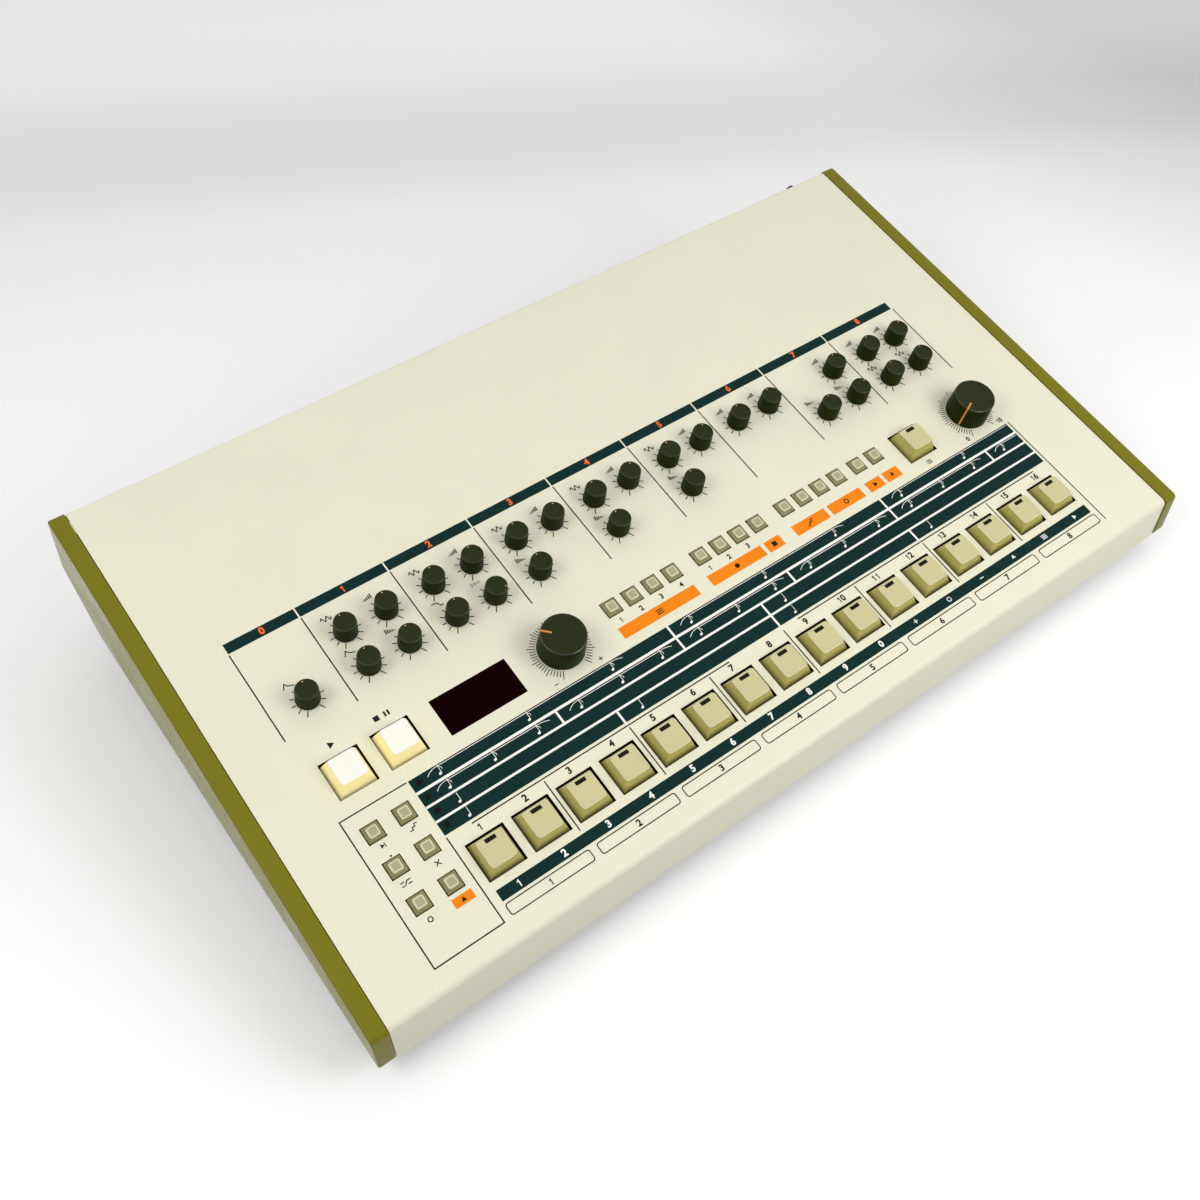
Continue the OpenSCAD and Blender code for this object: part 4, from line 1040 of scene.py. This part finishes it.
# Numbers over the rear sockets, upright to someone behind the machine, on the socket panel, which
# lies a sheet's thickness under the folds
TURN_ROUND = Matrix.Rotation(math.pi, 4, "Z")
JACK_NUMBER_DOWN = 20.5
jack_numbers = numerals([(str(i + 1), JACK_X + JACK_PITCH * i, -JACK_NUMBER_DOWN)
                         for i in range(14)], SMALL_NUMBER_H)
place_numbers(jack_numbers, dark_ink, "printed_numbers_rear",
              REAR @ Matrix.Translation((0, 0, -SHEET_T)) @ TURN_ROUND)


# ---- Floor, light and camera ----
FLOOR_W = 6.0
bpy.ops.object.select_all(action="DESELECT")
bpy.ops.mesh.primitive_plane_add(size=FLOOR_W, location=(0, 0, 0))
floor = bpy.context.object
floor.name = "studio_floor"
# Paper sweep: white round the object, with painted shade that greys it further back and to the right
floor_paper, floor_shader = new_material("studio_paper_white", "#FFFFFF", 0.9)
floor_place = add(floor_paper, "ShaderNodeTexCoord").outputs["Object"]
AWAY = (0.514, 0.857, 0.0)
floor_run = add(floor_paper, "ShaderNodeVectorMath", {"operation": "DOT_PRODUCT"},
                (floor_place, AWAY))
floor_back = add(floor_paper, "ShaderNodeMapRange", {"From Min": 0.0, "From Max": 1.0},
                 Value=floor_run.outputs["Value"])
floor_painted_shade = add(floor_paper, "ShaderNodeValToRGB", Fac=floor_back.outputs["Result"])
# The paper's colour with its painted shade by the distance in metres, away from the camera
FLOOR_STOPS = [(0.0, "#FFFFFF"), (0.16, "#FDFCFD"), (0.3, "#F9F9F9"), (0.38, "#F4F4F4"),
               (0.44, "#EAEAE9"), (0.5, "#ECECEB"), (0.58, "#FAFAFB"), (0.67, "#FFFEFF")]
stops = floor_painted_shade.color_ramp.elements
stops.remove(stops[1])
for i, (place, code) in enumerate(FLOOR_STOPS):
    stop = stops[0] if i == 0 else stops.new(place)
    stop.position, stop.color = place, linear(code)
floor_sides = add(floor_paper, "ShaderNodeSeparateXYZ", Vector=floor_place)
floor_right_shade = add(floor_paper, "ShaderNodeMapRange",
                  {"From Min": 0.44, "From Max": 0.68, "To Min": 1.0, "To Max": 0.78},
                  Value=floor_sides.outputs["X"])
floor_tint = add(floor_paper, "ShaderNodeHueSaturation", Color=floor_painted_shade.outputs["Color"],
                 Value=floor_right_shade.outputs["Result"])
# Seen straight or mirrored it has a faint painted glow that lifts its shadows; what it throws back on the
# object is dim
floor_path = add(floor_paper, "ShaderNodeLightPath")
floor_seen = add(floor_paper, "ShaderNodeMath", {"operation": "MAXIMUM"},
                 (floor_path.outputs["Is Camera Ray"], floor_path.outputs["Is Glossy Ray"]))
floor_share = add(floor_paper, "ShaderNodeMapRange",
                  {"From Min": 0.0, "From Max": 1.0, "To Min": 0.52, "To Max": 1.0},
                  Value=floor_seen.outputs["Value"])
floor_dim = add(floor_paper, "ShaderNodeHueSaturation", Color=floor_tint.outputs["Color"],
                Value=floor_share.outputs["Result"])
FLOOR_PAINTED_GLOW = 0.08
floor_painted_glow = add(floor_paper, "ShaderNodeMath", {"operation": "MULTIPLY"},
                 (floor_seen.outputs["Value"], FLOOR_PAINTED_GLOW))
for socket, name in ((floor_dim.outputs["Color"], "Base Color"),
                     (floor_tint.outputs["Color"], "Emission Color"),
                     (floor_painted_glow.outputs["Value"], "Emission Strength")):
    floor_paper.node_tree.links.new(socket, floor_shader.inputs[name])
floor.data.materials.append(floor_paper)

world = bpy.data.worlds.new("studio_light")
bpy.context.scene.world = world
world.use_nodes = True
# A bright ceiling, a dimmer room towards the camera and the left
sky_place = add(world, "ShaderNodeTexCoord").outputs["Generated"]
TO_BRIGHT_SKY = (0.4, 0.35, 0.85)
sky_run = add(world, "ShaderNodeVectorMath", {"operation": "DOT_PRODUCT"},
              (sky_place, TO_BRIGHT_SKY))
sky_shade = add(world, "ShaderNodeMapRange",
                {"From Min": -0.35, "From Max": 0.65, "To Min": 0.2, "To Max": 0.72},
                Value=sky_run.outputs["Value"])
world_shader = world.node_tree.nodes["Background"]
world_shader.inputs["Color"].default_value = (1.0, 1.0, 1.0, 1.0)
world.node_tree.links.new(sky_shade.outputs["Result"], world_shader.inputs["Strength"])


def lamp(name, place, aim, size, power):
    """A large soft lamp turned towards a point, in metres."""
    light = bpy.data.lights.new(name, "AREA")
    light.shape = "DISK"
    light.size = size
    light.energy = power
    holder = bpy.data.objects.new(name, light)
    bpy.context.scene.collection.objects.link(holder)
    holder.location = place
    holder.rotation_euler = (Vector(aim) - Vector(place)).to_track_quat("-Z", "Y").to_euler()


lamp("right_softbox", (0.3, -0.62, 0.56), (0.05, -0.1, 0.05), 0.45, 2.4)
lamp("left_softbox", (-0.75, -0.08, 0.85), (0, 0, 0.05), 0.5, 2.45)

# The camera as solved from the photograph, in metres and degrees
CAMERA_PLACE, CAMERA_TURN = (-0.28504, -0.35785, 0.51478), (40.868, 0.536, -36.889)
SENSOR_MM, LENS_MM = 36.0, 38.7
camera_data = bpy.data.cameras.new("camera")
camera_data.sensor_width = SENSOR_MM
camera_data.lens = LENS_MM
camera_data.clip_start = 0.01
camera = bpy.data.objects.new("camera", camera_data)
bpy.context.scene.collection.objects.link(camera)
camera.location = CAMERA_PLACE
camera.rotation_euler = [math.radians(angle) for angle in CAMERA_TURN]
bpy.context.scene.camera = camera

bpy.context.scene.view_settings.view_transform = "Standard"
